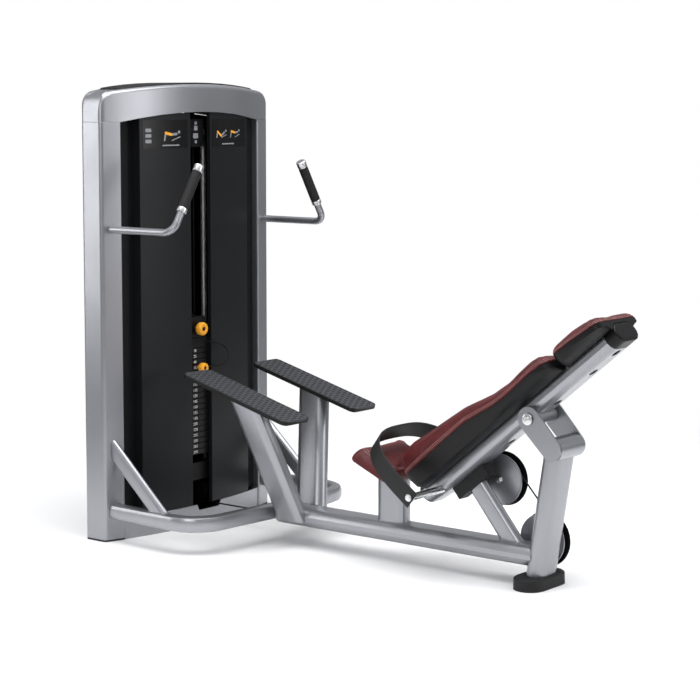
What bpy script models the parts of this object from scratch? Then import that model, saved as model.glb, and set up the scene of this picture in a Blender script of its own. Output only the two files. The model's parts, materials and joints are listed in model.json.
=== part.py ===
"""Glute bridge machine: selectorised weight tower, foot planks, seat, hinged bench and hip belt.

Metres, +Z up.  +X runs from the tower to the head end of the bench, Y = 0 is the plane of
symmetry, and the origin is on the floor under the middle of the machine.
"""
import math

import bmesh
import bpy
from mathutils import Matrix, Vector

for old in list(bpy.data.objects):
    bpy.data.objects.remove(old, do_unlink=True)

# ---- clearances --------------------------------------------------------------------------
GAP = 0.0003            # between pieces that are bolted or welded face to face
RUN = 0.0006            # radial running clearance of shafts, rods and sheaves

# ---- tower -------------------------------------------------------------------------------
TOWER_HALF = 0.4736     # half width over the two columns
TOWER_DEPTH = 0.104     # depth of a column at its outer face
FRONT_BOW = 0.075       # how far the front swells past the outer corners
REAR_BOW = 0.0596       # the same at the back
COLUMN_IN = 0.387       # inner face of a column, from the middle
COLUMN_TOP = 1.600
PAD_T = 0.006           # rubber pad under a column
CAP_TOP = 1.744         # top of the cap at the middle
CAP_FALL = 0.034        # how far the top arch falls towards the sides
CAP_ARCH = 0.036        # rise of the lower edge of the cap at the middle
CAP_ROUND = 0.018       # rounding of the top edge
CAP_SHOULDER = 0.050    # rounding of the cap's two upper corners, seen from the front
PAN_TOP = 0.083
SHEET = 0.003           # shroud sheet thickness
SLOT_HALF = 0.056       # half width of the opening in front of the stack
PANEL_OUT = 0.305       # outer edge of a front panel
SHROUD_DROP = 0.0022 * (TOWER_HALF - COLUMN_IN) / 0.0866    # shroud top below the sloping cap

# ---- weight stack ------------------------------------------------------------------------
STACK_X = -0.007        # stack centre, forward of the tower's front corners
STACK_Z = 0.280         # underside of the lowest plate
PLATE_PITCH = 0.0225
PLATE_T = 0.0213
PLATE_SIZE = (0.110, 0.260)
PLATES = 19
LIFTED = 4              # plates above the selector pin
HEAD_T = 0.036
ROD_Y = 0.095           # guide rods, from the middle
ROD_R = 0.012
STEM_R = 0.010
CRADLE_TOP = 0.245

# ---- cable -------------------------------------------------------------------------------
CABLE_R = 0.003
CABLE_Y = 0.0835        # plane of the low cable run and of the two large sheaves
CABLE_Z = 0.072
SMALL_PITCH = 0.0453    # pitch radius of the tower's two fixed sheaves
HEAD_PITCH = 0.0375     # pitch radius of the sheave on the weight head
LARGE_PITCH = 0.073
COVER_DEEP = 0.0345     # from the top of the cap down to the underside of its lid
BAR_T = 0.028           # crossbar that holds the rods at the top, its sheave clear of the lid
BAR_TOP = CAP_TOP - COVER_DEEP - 2 * SMALL_PITCH - 0.0209
BAR_Z = (BAR_TOP - BAR_T, BAR_TOP)
CRADLE_HEAD = CABLE_Z + 2 * SMALL_PITCH + 0.0124    # window over the foot sheave

# ---- frame -------------------------------------------------------------------------------
TUBE_WIDE = 0.130       # flat-oval frame tube
TUBE_THIN = 0.072
TUBE_Z = 0.109          # centre height of the base tube
BOW_SIZE = (0.055, 0.060)
BOW_Z = 0.115
BOW_FRONT = 0.4755      # centre line of the bow's front member, forward of the corners
PLANK_SIZE = (0.529, 0.152, 0.016)
PLANK_MID = (0.4787, 0.2003, 0.5819)
PLANK_TILT = math.radians(15.0)
POST_X = 1.027
SEAT_TILT = math.radians(23.1)
SEAT_NOSE = (0.931, 0.383)
SEAT_SIZE = (0.190, 0.300, 0.058)
HANDLE_Z = 1.196
HANDLE_Y = 0.4366
HANDLE_R = 0.014
GRIP_R = 0.019

# ---- bench arm, in its own axes: s along the beam, y across, n up from the beam ----------
PIVOT_STATION = 1.664   # hinge axis, forward of the tower's front corners
PIVOT_Z = 0.597
UPRIGHT_BEHIND = 0.006  # foot of the rear upright behind the hinge axis
UPRIGHT_SLOPE = 0.1597  # its lean, run per rise
BENCH_TILT = math.radians(39.6)
BEAM_UNDER = -0.002     # underside of the beam
BEAM_LOW = -0.565
BEAM_HIGH = 0.412
CAP_LEN = 0.053
BEAM_LIFT = 0.010       # upward bend of the beam's lowest part
BEND_FROM = -0.44
ROD_AT = (-0.485, 0.017)
ROD_HALF = 0.255
PAD_HALF = 0.140
HEADREST_HALF = 0.130
SHEAVE_AT = (-0.329, -0.062)
BELT_WIDTH = 0.068
BELT_T = 0.005
BELT_ARCH = 0.300       # height of the belt's loop above the rod
BELT_LEAN = math.radians(14.4)

# The machine is centred: the cap of the beam and the back of the tower are equally far out.
CAP_EDGE = 0.003        # chamfer round the end of the beam's cap
REACH = PIVOT_STATION + (BEAM_HIGH + CAP_LEN - CAP_EDGE / 2) * math.cos(BENCH_TILT)
REACH -= (BEAM_UNDER + CAP_EDGE) * math.sin(BENCH_TILT)
BACK = TOWER_DEPTH + REAR_BOW
X0 = BACK - (REACH + BACK) / 2.0
PIVOT = Vector((X0 + PIVOT_STATION, 0.0, PIVOT_Z))

FINISH = {
    "silver": ((0.34, 0.35, 0.37), 0.6, 0.35),
    "charcoal": ((0.03, 0.03, 0.032), 0.0, 0.45),
    "plastic": ((0.012, 0.012, 0.013), 0.0, 0.4),
    "rubber": ((0.015, 0.015, 0.015), 0.0, 0.75),
    "vinyl": ((0.15, 0.015, 0.02), 0.0, 0.5),
    "chrome": ((0.75, 0.75, 0.75), 1.0, 0.12),
    "steel": ((0.06, 0.06, 0.065), 0.4, 0.4),
    "orange": ((0.75, 0.35, 0.04), 0.0, 0.4),
    "webbing": ((0.012, 0.012, 0.012), 0.0, 0.9),
    "cable": ((0.02, 0.02, 0.02), 0.0, 0.5),
}


# ---- helpers -----------------------------------------------------------------------------
def finish(name, kind):
    """Principled material named after its piece."""
    colour, metallic, rough = FINISH[kind]
    mat = bpy.data.materials.new(name)
    mat.use_nodes = True
    shader = mat.node_tree.nodes["Principled BSDF"]
    shader.inputs["Base Color"].default_value = (*colour, 1.0)
    shader.inputs["Metallic"].default_value = metallic
    shader.inputs["Roughness"].default_value = rough
    return mat


def axis_empty(name, place, turn=(0.0, 0.0, 0.0)):
    """Empty that marks the axis of a moving group."""
    empty = bpy.data.objects.new(name, None)
    empty.location = place
    empty.rotation_euler = turn
    bpy.context.scene.collection.objects.link(empty)
    return empty


def piece(name, verts, faces, kind="silver", parent=None, at=(0, 0, 0), turn=(0, 0, 0), smooth=35.0):
    """One closed body as a named object, faces turned outward."""
    mesh = bpy.data.meshes.new(name)
    mesh.from_pydata([tuple(v) for v in verts], [], faces)
    body = bmesh.new()
    body.from_mesh(mesh)
    bmesh.ops.recalc_face_normals(body, faces=body.faces)
    if body.calc_volume(signed=True) < 0.0:
        bmesh.ops.reverse_faces(body, faces=body.faces)
    body.to_mesh(mesh)
    body.free()
    mesh.polygons.foreach_set("use_smooth", [True] * len(mesh.polygons))
    mesh.set_sharp_from_angle(angle=math.radians(smooth))
    mesh.materials.append(finish(name, kind))
    thing = bpy.data.objects.new(name, mesh)
    bpy.context.scene.collection.objects.link(thing)
    thing.location = at
    thing.rotation_euler = turn
    thing.parent = parent
    return thing


def loft(rings, loop=False):
    """Skin a list of equal rings; the ends are capped unless the rings form a loop."""
    count = len(rings[0])
    verts = [v for ring in rings for v in ring]
    faces = []
    last = len(rings) if loop else len(rings) - 1
    for i in range(last):
        a, b = i * count, ((i + 1) % len(rings)) * count
        for j in range(count):
            k = (j + 1) % count
            faces.append((a + j, a + k, b + k, b + j))
    if not loop:
        faces.append(tuple(range(count)))
        faces.append(tuple(range((len(rings) - 1) * count, len(rings) * count)))
    return verts, faces


def rounded(points, radius, steps=3):
    """Round the corners of a closed 2D outline; radius is one number or one per corner."""
    out = []
    total = len(points)
    for i, corner in enumerate(points):
        r = radius[i] if isinstance(radius, (list, tuple)) else radius
        here = Vector(corner)
        if r <= 0.0:
            out.append((here.x, here.y))
            continue
        to_prev = (Vector(points[i - 1]) - here).normalized()
        to_next = (Vector(points[(i + 1) % total]) - here).normalized()
        half = to_prev.angle(to_next) / 2.0
        middle = here + (to_prev + to_next).normalized() * (r / math.sin(half))
        start = here + to_prev * (r / math.tan(half)) - middle
        sweep_angle = (math.pi - 2.0 * half) * (1 if to_prev.cross(to_next) < 0 else -1)
        for k in range(steps + 1):
            turn = Matrix.Rotation(sweep_angle * k / steps, 2)
            spot = middle + turn @ start
            out.append((spot.x, spot.y))
    return out


def rectangle(a, b, radius, steps=3):
    """Rounded rectangle a by b about the origin."""
    corners = [(-a / 2, -b / 2), (a / 2, -b / 2), (a / 2, b / 2), (-a / 2, b / 2)]
    return rounded(corners, radius, steps)


def racetrack(a, b, steps=6):
    """Flat-oval section: a wide, b thick, with half-round edges."""
    r = b / 2.0
    out = []
    for side, first in ((1, -90.0), (-1, 90.0)):
        for k in range(steps + 1):
            angle = math.radians(first + 180.0 * k / steps)
            out.append((side * (a / 2 - r) + r * math.cos(angle), r * math.sin(angle)))
    return out


def prism(outline, low, high, axis="z"):
    """Extrude a 2D outline; low and high are numbers or functions of the outline point."""
    def level(value, p):
        return value(p) if callable(value) else value

    def place(p, h):
        return {"z": (p[0], p[1], h), "y": (p[0], h, p[1]), "x": (h, p[0], p[1])}[axis]
    return loft([[place(p, level(low, p)) for p in outline], [place(p, level(high, p)) for p in outline]])


def box(x0, x1, y0, y1, z0, z1):
    return prism([(x0, y0), (x1, y0), (x1, y1), (x0, y1)], z0, z1)


def bend(points, radii, steps=6):
    """Round the inner corners of a 3D polyline."""
    out = [Vector(points[0])]
    for i in range(1, len(points) - 1):
        here, r = Vector(points[i]), radii[i - 1]
        back = (Vector(points[i - 1]) - here).normalized()
        on = (Vector(points[i + 1]) - here).normalized()
        half = back.angle(on) / 2.0
        middle = here + (back + on).normalized() * (r / math.sin(half))
        start = here + back * (r / math.tan(half)) - middle
        turn_axis = back.cross(on).normalized() * -1.0
        for k in range(steps + 1):
            spin = Matrix.Rotation((math.pi - 2.0 * half) * k / steps, 3, turn_axis)
            out.append(middle + spin @ start)
    out.append(Vector(points[-1]))
    return out


def sweep(path, first_axis, outline, start_plane=None, end_plane=None):
    """Sweep an outline along a path.  The outline's first coordinate lies along first_axis,
    made square to the path; the end planes are (point, normal) pairs that trim the ends."""
    path = [Vector(p) for p in path]
    rings = []
    for i, spot in enumerate(path):
        before = path[max(i - 1, 0)]
        after = path[min(i + 1, len(path) - 1)]
        into = (spot - before).normalized() if i else (after - spot).normalized()
        out_of = (after - spot).normalized() if i < len(path) - 1 else into
        tangent = (into + out_of).normalized()
        widen = 1.0 / max(tangent.dot(into), 0.2)
        u = Vector(first_axis)
        u = (u - tangent * u.dot(tangent)).normalized()
        v = tangent.cross(u)
        lean = out_of - into
        if lean.length > 1e-6:
            lean.normalize()
            stretch_u, stretch_v = abs(lean.dot(u)), abs(lean.dot(v))
        else:
            stretch_u = stretch_v = 0.0
        su = 1.0 + (widen - 1.0) * stretch_u
        sv = 1.0 + (widen - 1.0) * stretch_v
        rings.append([spot + u * (a * su) + v * (b * sv) for a, b in outline])
    for plane, index, along in ((start_plane, 0, path[1] - path[0]), (end_plane, -1, path[-1] - path[-2])):
        if plane:
            point, normal = Vector(plane[0]), Vector(plane[1]).normalized()
            along = along.normalized()
            rings[index] = [p + along * ((point - p).dot(normal) / along.dot(normal)) for p in rings[index]]
    return loft(rings)


def lathe(profile, steps=20, axis="y", through=False):
    """Turn (radius, height) pairs about an axis; through leaves a bore down the middle."""
    def place(r, h, angle):
        a, b = r * math.cos(angle), r * math.sin(angle)
        return {"z": (a, b, h), "y": (a, h, b), "x": (h, a, b)}[axis]
    rings = [[place(r, h, 2 * math.pi * (j + 0.5) / steps) for j in range(steps)] for r, h in profile]
    return loft(rings, loop=through)


def cylinder(r, low, high, axis="y", steps=20):
    return lathe([(r, low), (r, high)], steps, axis)


def cutter(name, shape, parent=None, at=(0, 0, 0), turn=(0, 0, 0)):
    """Hidden tool body for a boolean."""
    tool = piece(name, *shape, parent=parent, at=at, turn=turn)
    tool.hide_render = True
    tool.display_type = "WIRE"
    return tool


def combine(target, tool, operation="DIFFERENCE"):
    mod = target.modifiers.new(operation.lower(), "BOOLEAN")
    mod.operation = operation
    mod.solver = "EXACT"
    mod.object = tool


def tube_curve(name, points, radius, kind, parent=None):
    """Round cord along points, with filled ends."""
    data = bpy.data.curves.new(name, "CURVE")
    data.dimensions = "3D"
    data.bevel_depth = radius
    data.bevel_resolution = 2
    data.use_fill_caps = True
    line = data.splines.new("POLY")
    line.points.add(len(points) - 1)
    for spot, p in zip(line.points, points):
        spot.co = (*p, 1.0)
    data.materials.append(finish(name, kind))
    thing = bpy.data.objects.new(name, data)
    bpy.context.scene.collection.objects.link(thing)
    thing.parent = parent
    return thing


def arc(centre, radius, start, stop, across=(0, 1, 0), zero=(1, 0, 0), steps=10):
    """Points on a circle; angles in degrees, turning from zero towards zero x across."""
    centre, e1 = Vector(centre), Vector(zero).normalized()
    e2 = e1.cross(Vector(across)).normalized()
    out = []
    for k in range(steps + 1):
        angle = math.radians(start + (stop - start) * k / steps)
        out.append(centre + e1 * (radius * math.cos(angle)) + e2 * (radius * math.sin(angle)))
    return out


def station(x, y=0.0, z=0.0):
    """Point given by its distance forward of the tower's front corners."""
    return Vector((X0 + x, y, z))


def plan_front(y):
    return X0 + FRONT_BOW * (1.0 - (y / TOWER_HALF) ** 2)


def plan_rear(y):
    return X0 - TOWER_DEPTH - REAR_BOW * (1.0 - (y / TOWER_HALF) ** 2)


# ---- tower -------------------------------------------------------------------------------
def column(side, name):
    y_in, y_out = side * COLUMN_IN, side * TOWER_HALF
    corners = [(plan_front(y_in), y_in), (plan_front(y_out), y_out), (plan_rear(y_out), y_out), (plan_rear(y_in), y_in)]
    outline = rounded(corners, [0.006, 0.016, 0.016, 0.006], 4)
    piece("column_" + name, *prism(outline, PAD_T + GAP, COLUMN_TOP))
    foot = [(x, y) for x, y in rounded(corners, [0.006, 0.016, 0.016, 0.006], 4)]
    piece("column_pad_" + name, *prism(foot, 0.0, PAD_T), kind="rubber")


def tower_ring(half, inset, radius):
    """Bowed outline between the two sides, set in from the outer faces."""
    shares = (0.955, 0.90, 0.82, 0.66, 0.44, 0.22)
    ys = [-half] + [-half * k for k in shares] + [0.0] + [half * k for k in reversed(shares)] + [half]
    count = len(ys) - 1
    front = [(plan_front(y) - inset, y) for y in ys]
    rear = [(plan_rear(y) + inset, y) for y in reversed(ys)]
    radii = [radius] + [0] * (count - 1) + [radius]
    return rounded(front + rear, radii + radii, 4)


def arch_top(y):
    past = max(0.0, abs(y) - (TOWER_HALF - CAP_SHOULDER))
    shoulder = CAP_SHOULDER - math.sqrt(max(CAP_SHOULDER ** 2 - past ** 2, 0.0))
    return CAP_TOP - CAP_FALL * (y / TOWER_HALF) ** 2 - shoulder


def arch_foot(y):
    inside = min(abs(y) / COLUMN_IN, 1.0)
    return COLUMN_TOP + GAP + CAP_ARCH * (1.0 - inside ** 2)


def cap():
    outer = tower_ring(TOWER_HALF, 0.0, 0.018)
    rings = [[(x, y, arch_foot(y)) for x, y in outer]]
    for k in range(4):
        angle = math.radians(30.0 * k)
        inset = CAP_ROUND * (1.0 - math.cos(angle)) * 0.9
        ring = tower_ring(TOWER_HALF - inset, inset, 0.018 - inset * 0.5)
        rings.append([(x, y, arch_top(y) - CAP_ROUND + CAP_ROUND * math.sin(angle)) for x, y in ring])
    inner = tower_ring(COLUMN_IN - 0.002, 0.022, 0.018)
    rings.append([(x, y, arch_top(y)) for x, y in inner])
    rings.append([(x, y, arch_foot(y)) for x, y in inner])
    piece("top_cap", *loft(rings, loop=True))


def cover():
    """Arched lid inside the cap's rim, its corners following the rim's."""
    half = COLUMN_IN - 0.0025
    low = CAP_TOP - COVER_DEEP
    stations = [(-half, 0.019), (0.005 - half, 0.0065), (0.018 - half, 0.0005)]
    stations += [(half * k / 5.0, 0.0005) for k in range(-4, 5)]
    stations += [(-y, inset) for y, inset in reversed(stations[:3])]
    rings = []
    for y, inset in stations:
        front, rear = plan_front(y) - 0.022 - inset, plan_rear(y) + 0.022 + inset
        top = arch_top(y) + 0.006
        rings.append([(front, y, low), (front, y, top - 0.004), (front - 0.004, y, top),
                      (rear + 0.004, y, top), (rear, y, top - 0.004), (rear, y, low)])
    piece("top_cover", *loft(rings), kind="plastic")


def pan():
    outer = tower_ring(COLUMN_IN - 0.0005, 0.006, 0.004)
    inner = tower_ring(COLUMN_IN - 0.0065, 0.012, 0.004)
    rings = [[(x, y, 0.0) for x, y in outer], [(x, y, PAN_TOP) for x, y in outer],
             [(x, y, PAN_TOP) for x, y in inner], [(x, y, PAD_T) for x, y in inner]]
    tray = piece("base_pan", *loft(rings))
    notch = [(-0.035, PAN_TOP + 0.01), (-0.020, 0.060), (0.100, 0.060), (0.115, PAN_TOP + 0.01)]
    combine(tray, cutter("notch_tool", prism(notch, X0 + 0.02, X0 + 0.12, "x")))


def bent_sheet(points, thick):
    """Closed outline of a sheet that follows points, thickened to the right of the walk."""
    spots = [Vector(p) for p in points]
    other = []
    for i, spot in enumerate(spots):
        into = (spot - spots[i - 1]).normalized() if i else (spots[1] - spot).normalized()
        out_of = (spots[i + 1] - spot).normalized() if i < len(spots) - 1 else into
        normal = (into + out_of).normalized()
        reach = thick / max(normal.dot(into), 0.3)
        other.append(spot + Vector((normal.y, -normal.x)) * reach)
    return [tuple(p) for p in spots] + [tuple(p) for p in reversed(other)]


def shroud(side, name):
    face = [(plan_front(y) - 0.006, side * y) for y in (SLOT_HALF, 0.10, 0.15, 0.20, 0.255, PANEL_OUT)]
    back_in, back_out = face[0][0] - 0.018, face[-1][0] - 0.045
    walk = [(back_in, side * SLOT_HALF)] + face + [(back_out, side * PANEL_OUT), (back_out, side * (COLUMN_IN - 0.0005))]
    outline = bent_sheet(walk, -SHEET * side)
    top = prism(outline, PAN_TOP + 0.0008, lambda p: arch_foot(p[1]) - SHROUD_DROP)
    piece("front_shroud_" + name, *top, kind="charcoal")


def rear_shroud():
    half = COLUMN_IN - 0.0005
    ys = [half * (i / 5.0 - 1.0) for i in range(11)]
    outline = bent_sheet([(plan_rear(y) + 0.006, y) for y in ys], SHEET)
    piece("rear_shroud", *prism(outline, PAN_TOP + 0.0008, lambda p: arch_foot(p[1]) - SHROUD_DROP), kind="charcoal")


# ---- weight stack ------------------------------------------------------------------------
def plate_level(number):
    """Underside of a plate, counted from the top plate = 1."""
    return STACK_Z + (PLATES - number) * PLATE_PITCH


def grooved_block(name, low, count, parent):
    """Plates lying on each other, joined behind the grooves between their edges."""
    cx = X0 + STACK_X
    deep, wide = PLATE_SIZE[0] / 2, PLATE_SIZE[1] / 2
    full = [(cx - deep, -wide), (cx + deep, -wide), (cx + deep, wide), (cx - deep, wide)]
    slim = [(cx + (x - cx) * 0.975, y * 0.989) for x, y in full]
    rings = []
    for i in range(count):
        z = low + i * PLATE_PITCH
        rings.append([(x, y, z) for x, y in full])
        rings.append([(x, y, z + PLATE_T) for x, y in full])
        if i < count - 1:
            rings.append([(x, y, z + PLATE_T) for x, y in slim])
            rings.append([(x, y, z + PLATE_PITCH) for x, y in slim])
    shift = parent.location if parent else Vector((0, 0, 0))
    rings = [[Vector(p) - shift for p in ring] for ring in rings]
    return piece(name, *loft(rings), kind="plastic", parent=parent)


def stack_bores(name, target, low, high, parent):
    """Holes for the guide rods and the selector stem."""
    cx = X0 + STACK_X
    shift = parent.location if parent else Vector((0, 0, 0))
    for y, r, tag in ((-ROD_Y, ROD_R + RUN, "_a"), (ROD_Y, ROD_R + RUN, "_b"), (0.0, STEM_R + RUN, "_c")):
        tool = cutter(name + tag, cylinder(r, low - 0.01, high + 0.01, "z", 12), parent, Vector((cx, y, 0)) - shift)
        combine(target, tool)


def stack():
    cx = X0 + STACK_X
    pin_z = plate_level(LIFTED) + PLATE_T / 2
    head_low = plate_level(0)
    rest = grooved_block("resting_plates", STACK_Z, PLATES - LIFTED, None)
    stack_bores("rest_bore", rest, STACK_Z, plate_level(LIFTED), None)
    lift = axis_empty("stack_axis", (cx, 0, head_low))
    moved = grooved_block("lifted_plates", plate_level(LIFTED), LIFTED, lift)
    stack_bores("lift_bore", moved, plate_level(LIFTED), head_low, lift)
    pin_bore = cylinder(0.0054, 0.003, 0.08, "x", 14)
    combine(moved, cutter("pin_bore_tool", pin_bore, lift, (0, 0, pin_z - head_low)))
    head = piece("head_plate", *prism(rectangle(*PLATE_SIZE, 0.008, 2), 0.0, HEAD_T), kind="plastic", parent=lift)
    stack_bores("head_bore", head, head_low, head_low + HEAD_T, lift)
    stem_low = STACK_Z + 0.002 - head_low
    stem_high = HEAD_T - 0.001
    stem = piece("selector_stem", *cylinder(STEM_R, stem_low, stem_high, "z", 16), kind="chrome", parent=lift)
    combine(stem, cutter("stem_bore_tool", cylinder(0.0054, -0.02, 0.02, "x", 14), lift, (0, 0, pin_z - head_low)))
    housing_and_knob(lift, head_low)
    pin = axis_empty("pin_axis", (0, 0, pin_z - head_low))
    pin.parent = lift
    front = PLATE_SIZE[0] / 2
    knob = [(0.0048, -0.006), (0.0048, front + 0.004), (0.010, front + 0.004), (0.010, front + 0.014),
            (0.0175, front + 0.017), (0.0205, front + 0.024), (0.0205, front + 0.032), (0.016, front + 0.039),
            (0.006, front + 0.041)]
    piece("selector_pin", *lathe(knob, 18, "x"), kind="orange", parent=pin)
    a = Vector((front + 0.018, 0.026, HEAD_T - 0.012))
    d = Vector((front + 0.0105, 0.013, pin_z - head_low))
    lanyard = [a, a + Vector((0.016, 0.030, -0.006)), a + Vector((0.026, 0.075, -0.024)),
               a + Vector((0.028, 0.100, -0.052)), a + Vector((0.026, 0.098, -0.080)),
               a + Vector((0.022, 0.070, -0.100)), d + Vector((0.012, 0.040, 0.002)), d]
    smooth = []
    for i in range(len(lanyard) - 1):
        p0, p1 = lanyard[max(i - 1, 0)], lanyard[i]
        p2, p3 = lanyard[i + 1], lanyard[min(i + 2, len(lanyard) - 1)]
        for k in range(3):
            t = k / 3.0
            smooth.append(0.5 * ((2 * p1) + (p2 - p0) * t + (2 * p0 - 5 * p1 + 4 * p2 - p3) * t * t
                                 + (3 * p1 - p0 - 3 * p2 + p3) * t ** 3))
    smooth.append(lanyard[-1])
    tube_curve("pin_lanyard", smooth, 0.0016, "cable", lift)
    return lift


def housing_and_knob(lift, head_low):
    """Block on the weight head: cheeks and axle for the head sheave, and the dial in front."""
    low, high = HEAD_T + GAP, 0.1215
    axle_z = low + 0.009 + HEAD_PITCH + 0.007
    cheeks = [(-0.034, low), (0.052, low), (0.052, high), (0.0105, high), (0.0105, low + 0.009),
              (-0.0105, low + 0.009), (-0.0105, high), (-0.034, high)]
    block = piece("head_housing", *prism(cheeks, -0.045, 0.045, "y"), kind="steel", parent=lift)
    combine(block, cutter("head_axle_tool", cylinder(0.006, -0.02, 0.02, "x", 12), lift, (0, 0, axle_z)), "UNION")
    spin = axis_empty("head_pulley_axis", (0, 0, axle_z))
    spin.parent = lift
    piece("head_pulley", *sheave(HEAD_PITCH, 0.006, 0.009, 0.0045, "x", 20), kind="plastic", parent=spin)
    dial = axis_empty("dial_axis", (0.052, 0.0, 0.0757))
    dial.parent = lift
    shape = [(0.012, 0.0008), (0.012, 0.010), (0.0235, 0.014), (0.0265, 0.019), (0.0265, 0.030),
             (0.0235, 0.036), (0.010, 0.038)]
    piece("increment_knob", *lathe(shape, 20, "x"), kind="orange", parent=dial)


def sheave(pitch, bore, half, flank, axis="y", steps=22):
    """Grooved wheel for the cable: bore, hub faces and a groove floor under the cable."""
    rim = pitch + 0.0055
    floor = pitch - CABLE_R - RUN
    profile = [(bore + RUN, -half), (rim, -half), (rim, -flank), (floor, -CABLE_R * 0.75),
               (floor, CABLE_R * 0.75), (rim, flank), (rim, half), (bore + RUN, half)]
    return lathe(profile, steps, axis, through=True)


def stack_guides():
    cx = X0 + STACK_X
    for side, name in ((-1, "right"), (1, "left")):
        rod = cylinder(ROD_R, CRADLE_TOP + GAP, BAR_Z[0] - GAP, "z", 16)
        piece("guide_rod_" + name, *rod, kind="chrome", at=(cx, side * ROD_Y, 0))
    foot_x = SMALL_PITCH - 0.085
    frame = [(-0.145, PAD_T + GAP), (0.145, PAD_T + GAP), (0.145, CRADLE_TOP), (-0.145, CRADLE_TOP)]
    body = piece("stack_cradle", *prism(frame, cx - 0.048, cx + 0.044, "x"), kind="steel")
    window = [(-0.115, PAD_T + 0.006), (0.115, PAD_T + 0.006), (0.115, CRADLE_HEAD), (-0.115, CRADLE_HEAD)]
    combine(body, cutter("cradle_window_tool", prism(window, cx - 0.07, cx + 0.07, "x")))
    for y in (-ROD_Y, ROD_Y):
        ring = lathe([(ROD_R + RUN, CRADLE_TOP - 0.004), (0.026, CRADLE_TOP - 0.004),
                      (0.026, STACK_Z - GAP), (ROD_R + RUN, STACK_Z - GAP)], 16, "z", through=True)
        combine(body, cutter("stack_cushion_tool", ring, at=(cx, y, 0)), "UNION")
    fork = u_bracket(CABLE_Z + SMALL_PITCH - (PAD_T + 0.006) + 0.002, 0.030)
    spot = (X0 + foot_x, CABLE_Y, CABLE_Z + SMALL_PITCH)
    combine(body, cutter("foot_fork_tool", fork, at=spot), "UNION")
    axle = cylinder(0.006, -0.013, 0.013, "y", 12)
    combine(body, cutter("foot_axle_tool", axle, at=spot), "UNION")
    wheel = axis_empty("foot_pulley_axis", spot)
    piece("foot_pulley", *sheave(SMALL_PITCH, 0.006, 0.009, 0.0045), kind="plastic", parent=wheel)


def u_bracket(depth, half_x):
    """Fork open upward about its axle: two cheeks and a floor, depth below the axle."""
    outline = [(-0.0145, -depth), (0.0145, -depth), (0.0145, 0.012), (0.0105, 0.012), (0.0105, 0.004 - depth),
               (-0.0105, 0.004 - depth), (-0.0105, 0.012), (-0.0145, 0.012)]
    return prism(outline, -half_x, half_x, "x")


def crossbar():
    cx = X0 + STACK_X
    half, wide = COLUMN_IN - 0.0005, PANEL_OUT - 0.020
    rear, narrow, front = cx - 0.050, X0 - 0.012, cx + 0.035
    plan = [(rear, -half), (narrow, -half), (narrow, -wide), (front, -wide),
            (front, wide), (narrow, wide), (narrow, half), (rear, half)]
    bar = piece("top_crossbar", *prism(plan, *BAR_Z), kind="steel")
    hole = cylinder(0.007, BAR_Z[0] - 0.01, BAR_Z[1] + 0.01, "z", 12)
    combine(bar, cutter("cable_hole_tool", hole, at=(cx, HEAD_PITCH, 0)))
    centre, turn = top_pulley_place()
    fork = u_bracket(centre.z - BAR_Z[1] + 0.002, 0.020)
    combine(bar, cutter("top_fork_tool", fork, at=centre, turn=(0, 0, turn)), "UNION")
    axle = cylinder(0.006, -0.013, 0.013, "y", 12)
    combine(bar, cutter("top_axle_tool", axle, at=centre, turn=(0, 0, turn)), "UNION")
    wheel = axis_empty("top_pulley_axis", centre, (0, 0, turn))
    piece("top_pulley", *sheave(SMALL_PITCH, 0.006, 0.009, 0.0045), kind="plastic", parent=wheel)


def down_run():
    """Plan position of the cable where it falls behind the stack."""
    across = CABLE_Y - HEAD_PITCH
    along = math.sqrt((2 * SMALL_PITCH) ** 2 - across ** 2)
    return X0 + STACK_X - along, CABLE_Y


def top_pulley_place():
    up = Vector((X0 + STACK_X, HEAD_PITCH, 0))
    down = Vector((*down_run(), 0))
    middle = (up + down) / 2
    middle.z = BAR_Z[1] + SMALL_PITCH + 0.012
    return middle, math.atan2(down.y - up.y, down.x - up.x)


# ---- frame -------------------------------------------------------------------------------
def column_face(side):
    """Front face of a column as a trimming plane."""
    inner = Vector((plan_front(COLUMN_IN), side * COLUMN_IN, 0))
    outer = Vector((plan_front(TOWER_HALF), side * TOWER_HALF, 0))
    normal = Vector((0, 0, 1)).cross(outer - inner).normalized()
    return inner + Vector((0.0006, 0, 0)), normal


def bow():
    half = 0.440
    points = [station(0.0, -0.428, BOW_Z), station(0.447, -half, BOW_Z), station(BOW_FRONT, 0, BOW_Z),
              station(0.447, half, BOW_Z), station(0.0, 0.428, BOW_Z)]
    path = bend(points, [0.125, 0.5, 0.125], 5)
    shape = sweep(path, (0, 0, 1), rectangle(BOW_SIZE[1], BOW_SIZE[0], 0.018, 2), column_face(-1), column_face(1))
    piece("bow_tube", *shape)


def brace(side, name):
    y = side * 0.430
    path = [station(0.0, y, 0.361), station(0.240, y, 0.146)]
    top = (station(0, 0, BOW_Z + BOW_SIZE[1] / 2 + GAP), (0, 0, 1))
    piece("brace_" + name, *sweep(path, (0, 1, 0), [(b, a) for a, b in racetrack(0.063, 0.032)][::-1],
                                  column_face(side), top))


def upright_line(z):
    """Centre line of the leaning rear upright."""
    return station(PIVOT_STATION + UPRIGHT_BEHIND + (z - 0.037) * UPRIGHT_SLOPE, 0, z)


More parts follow.
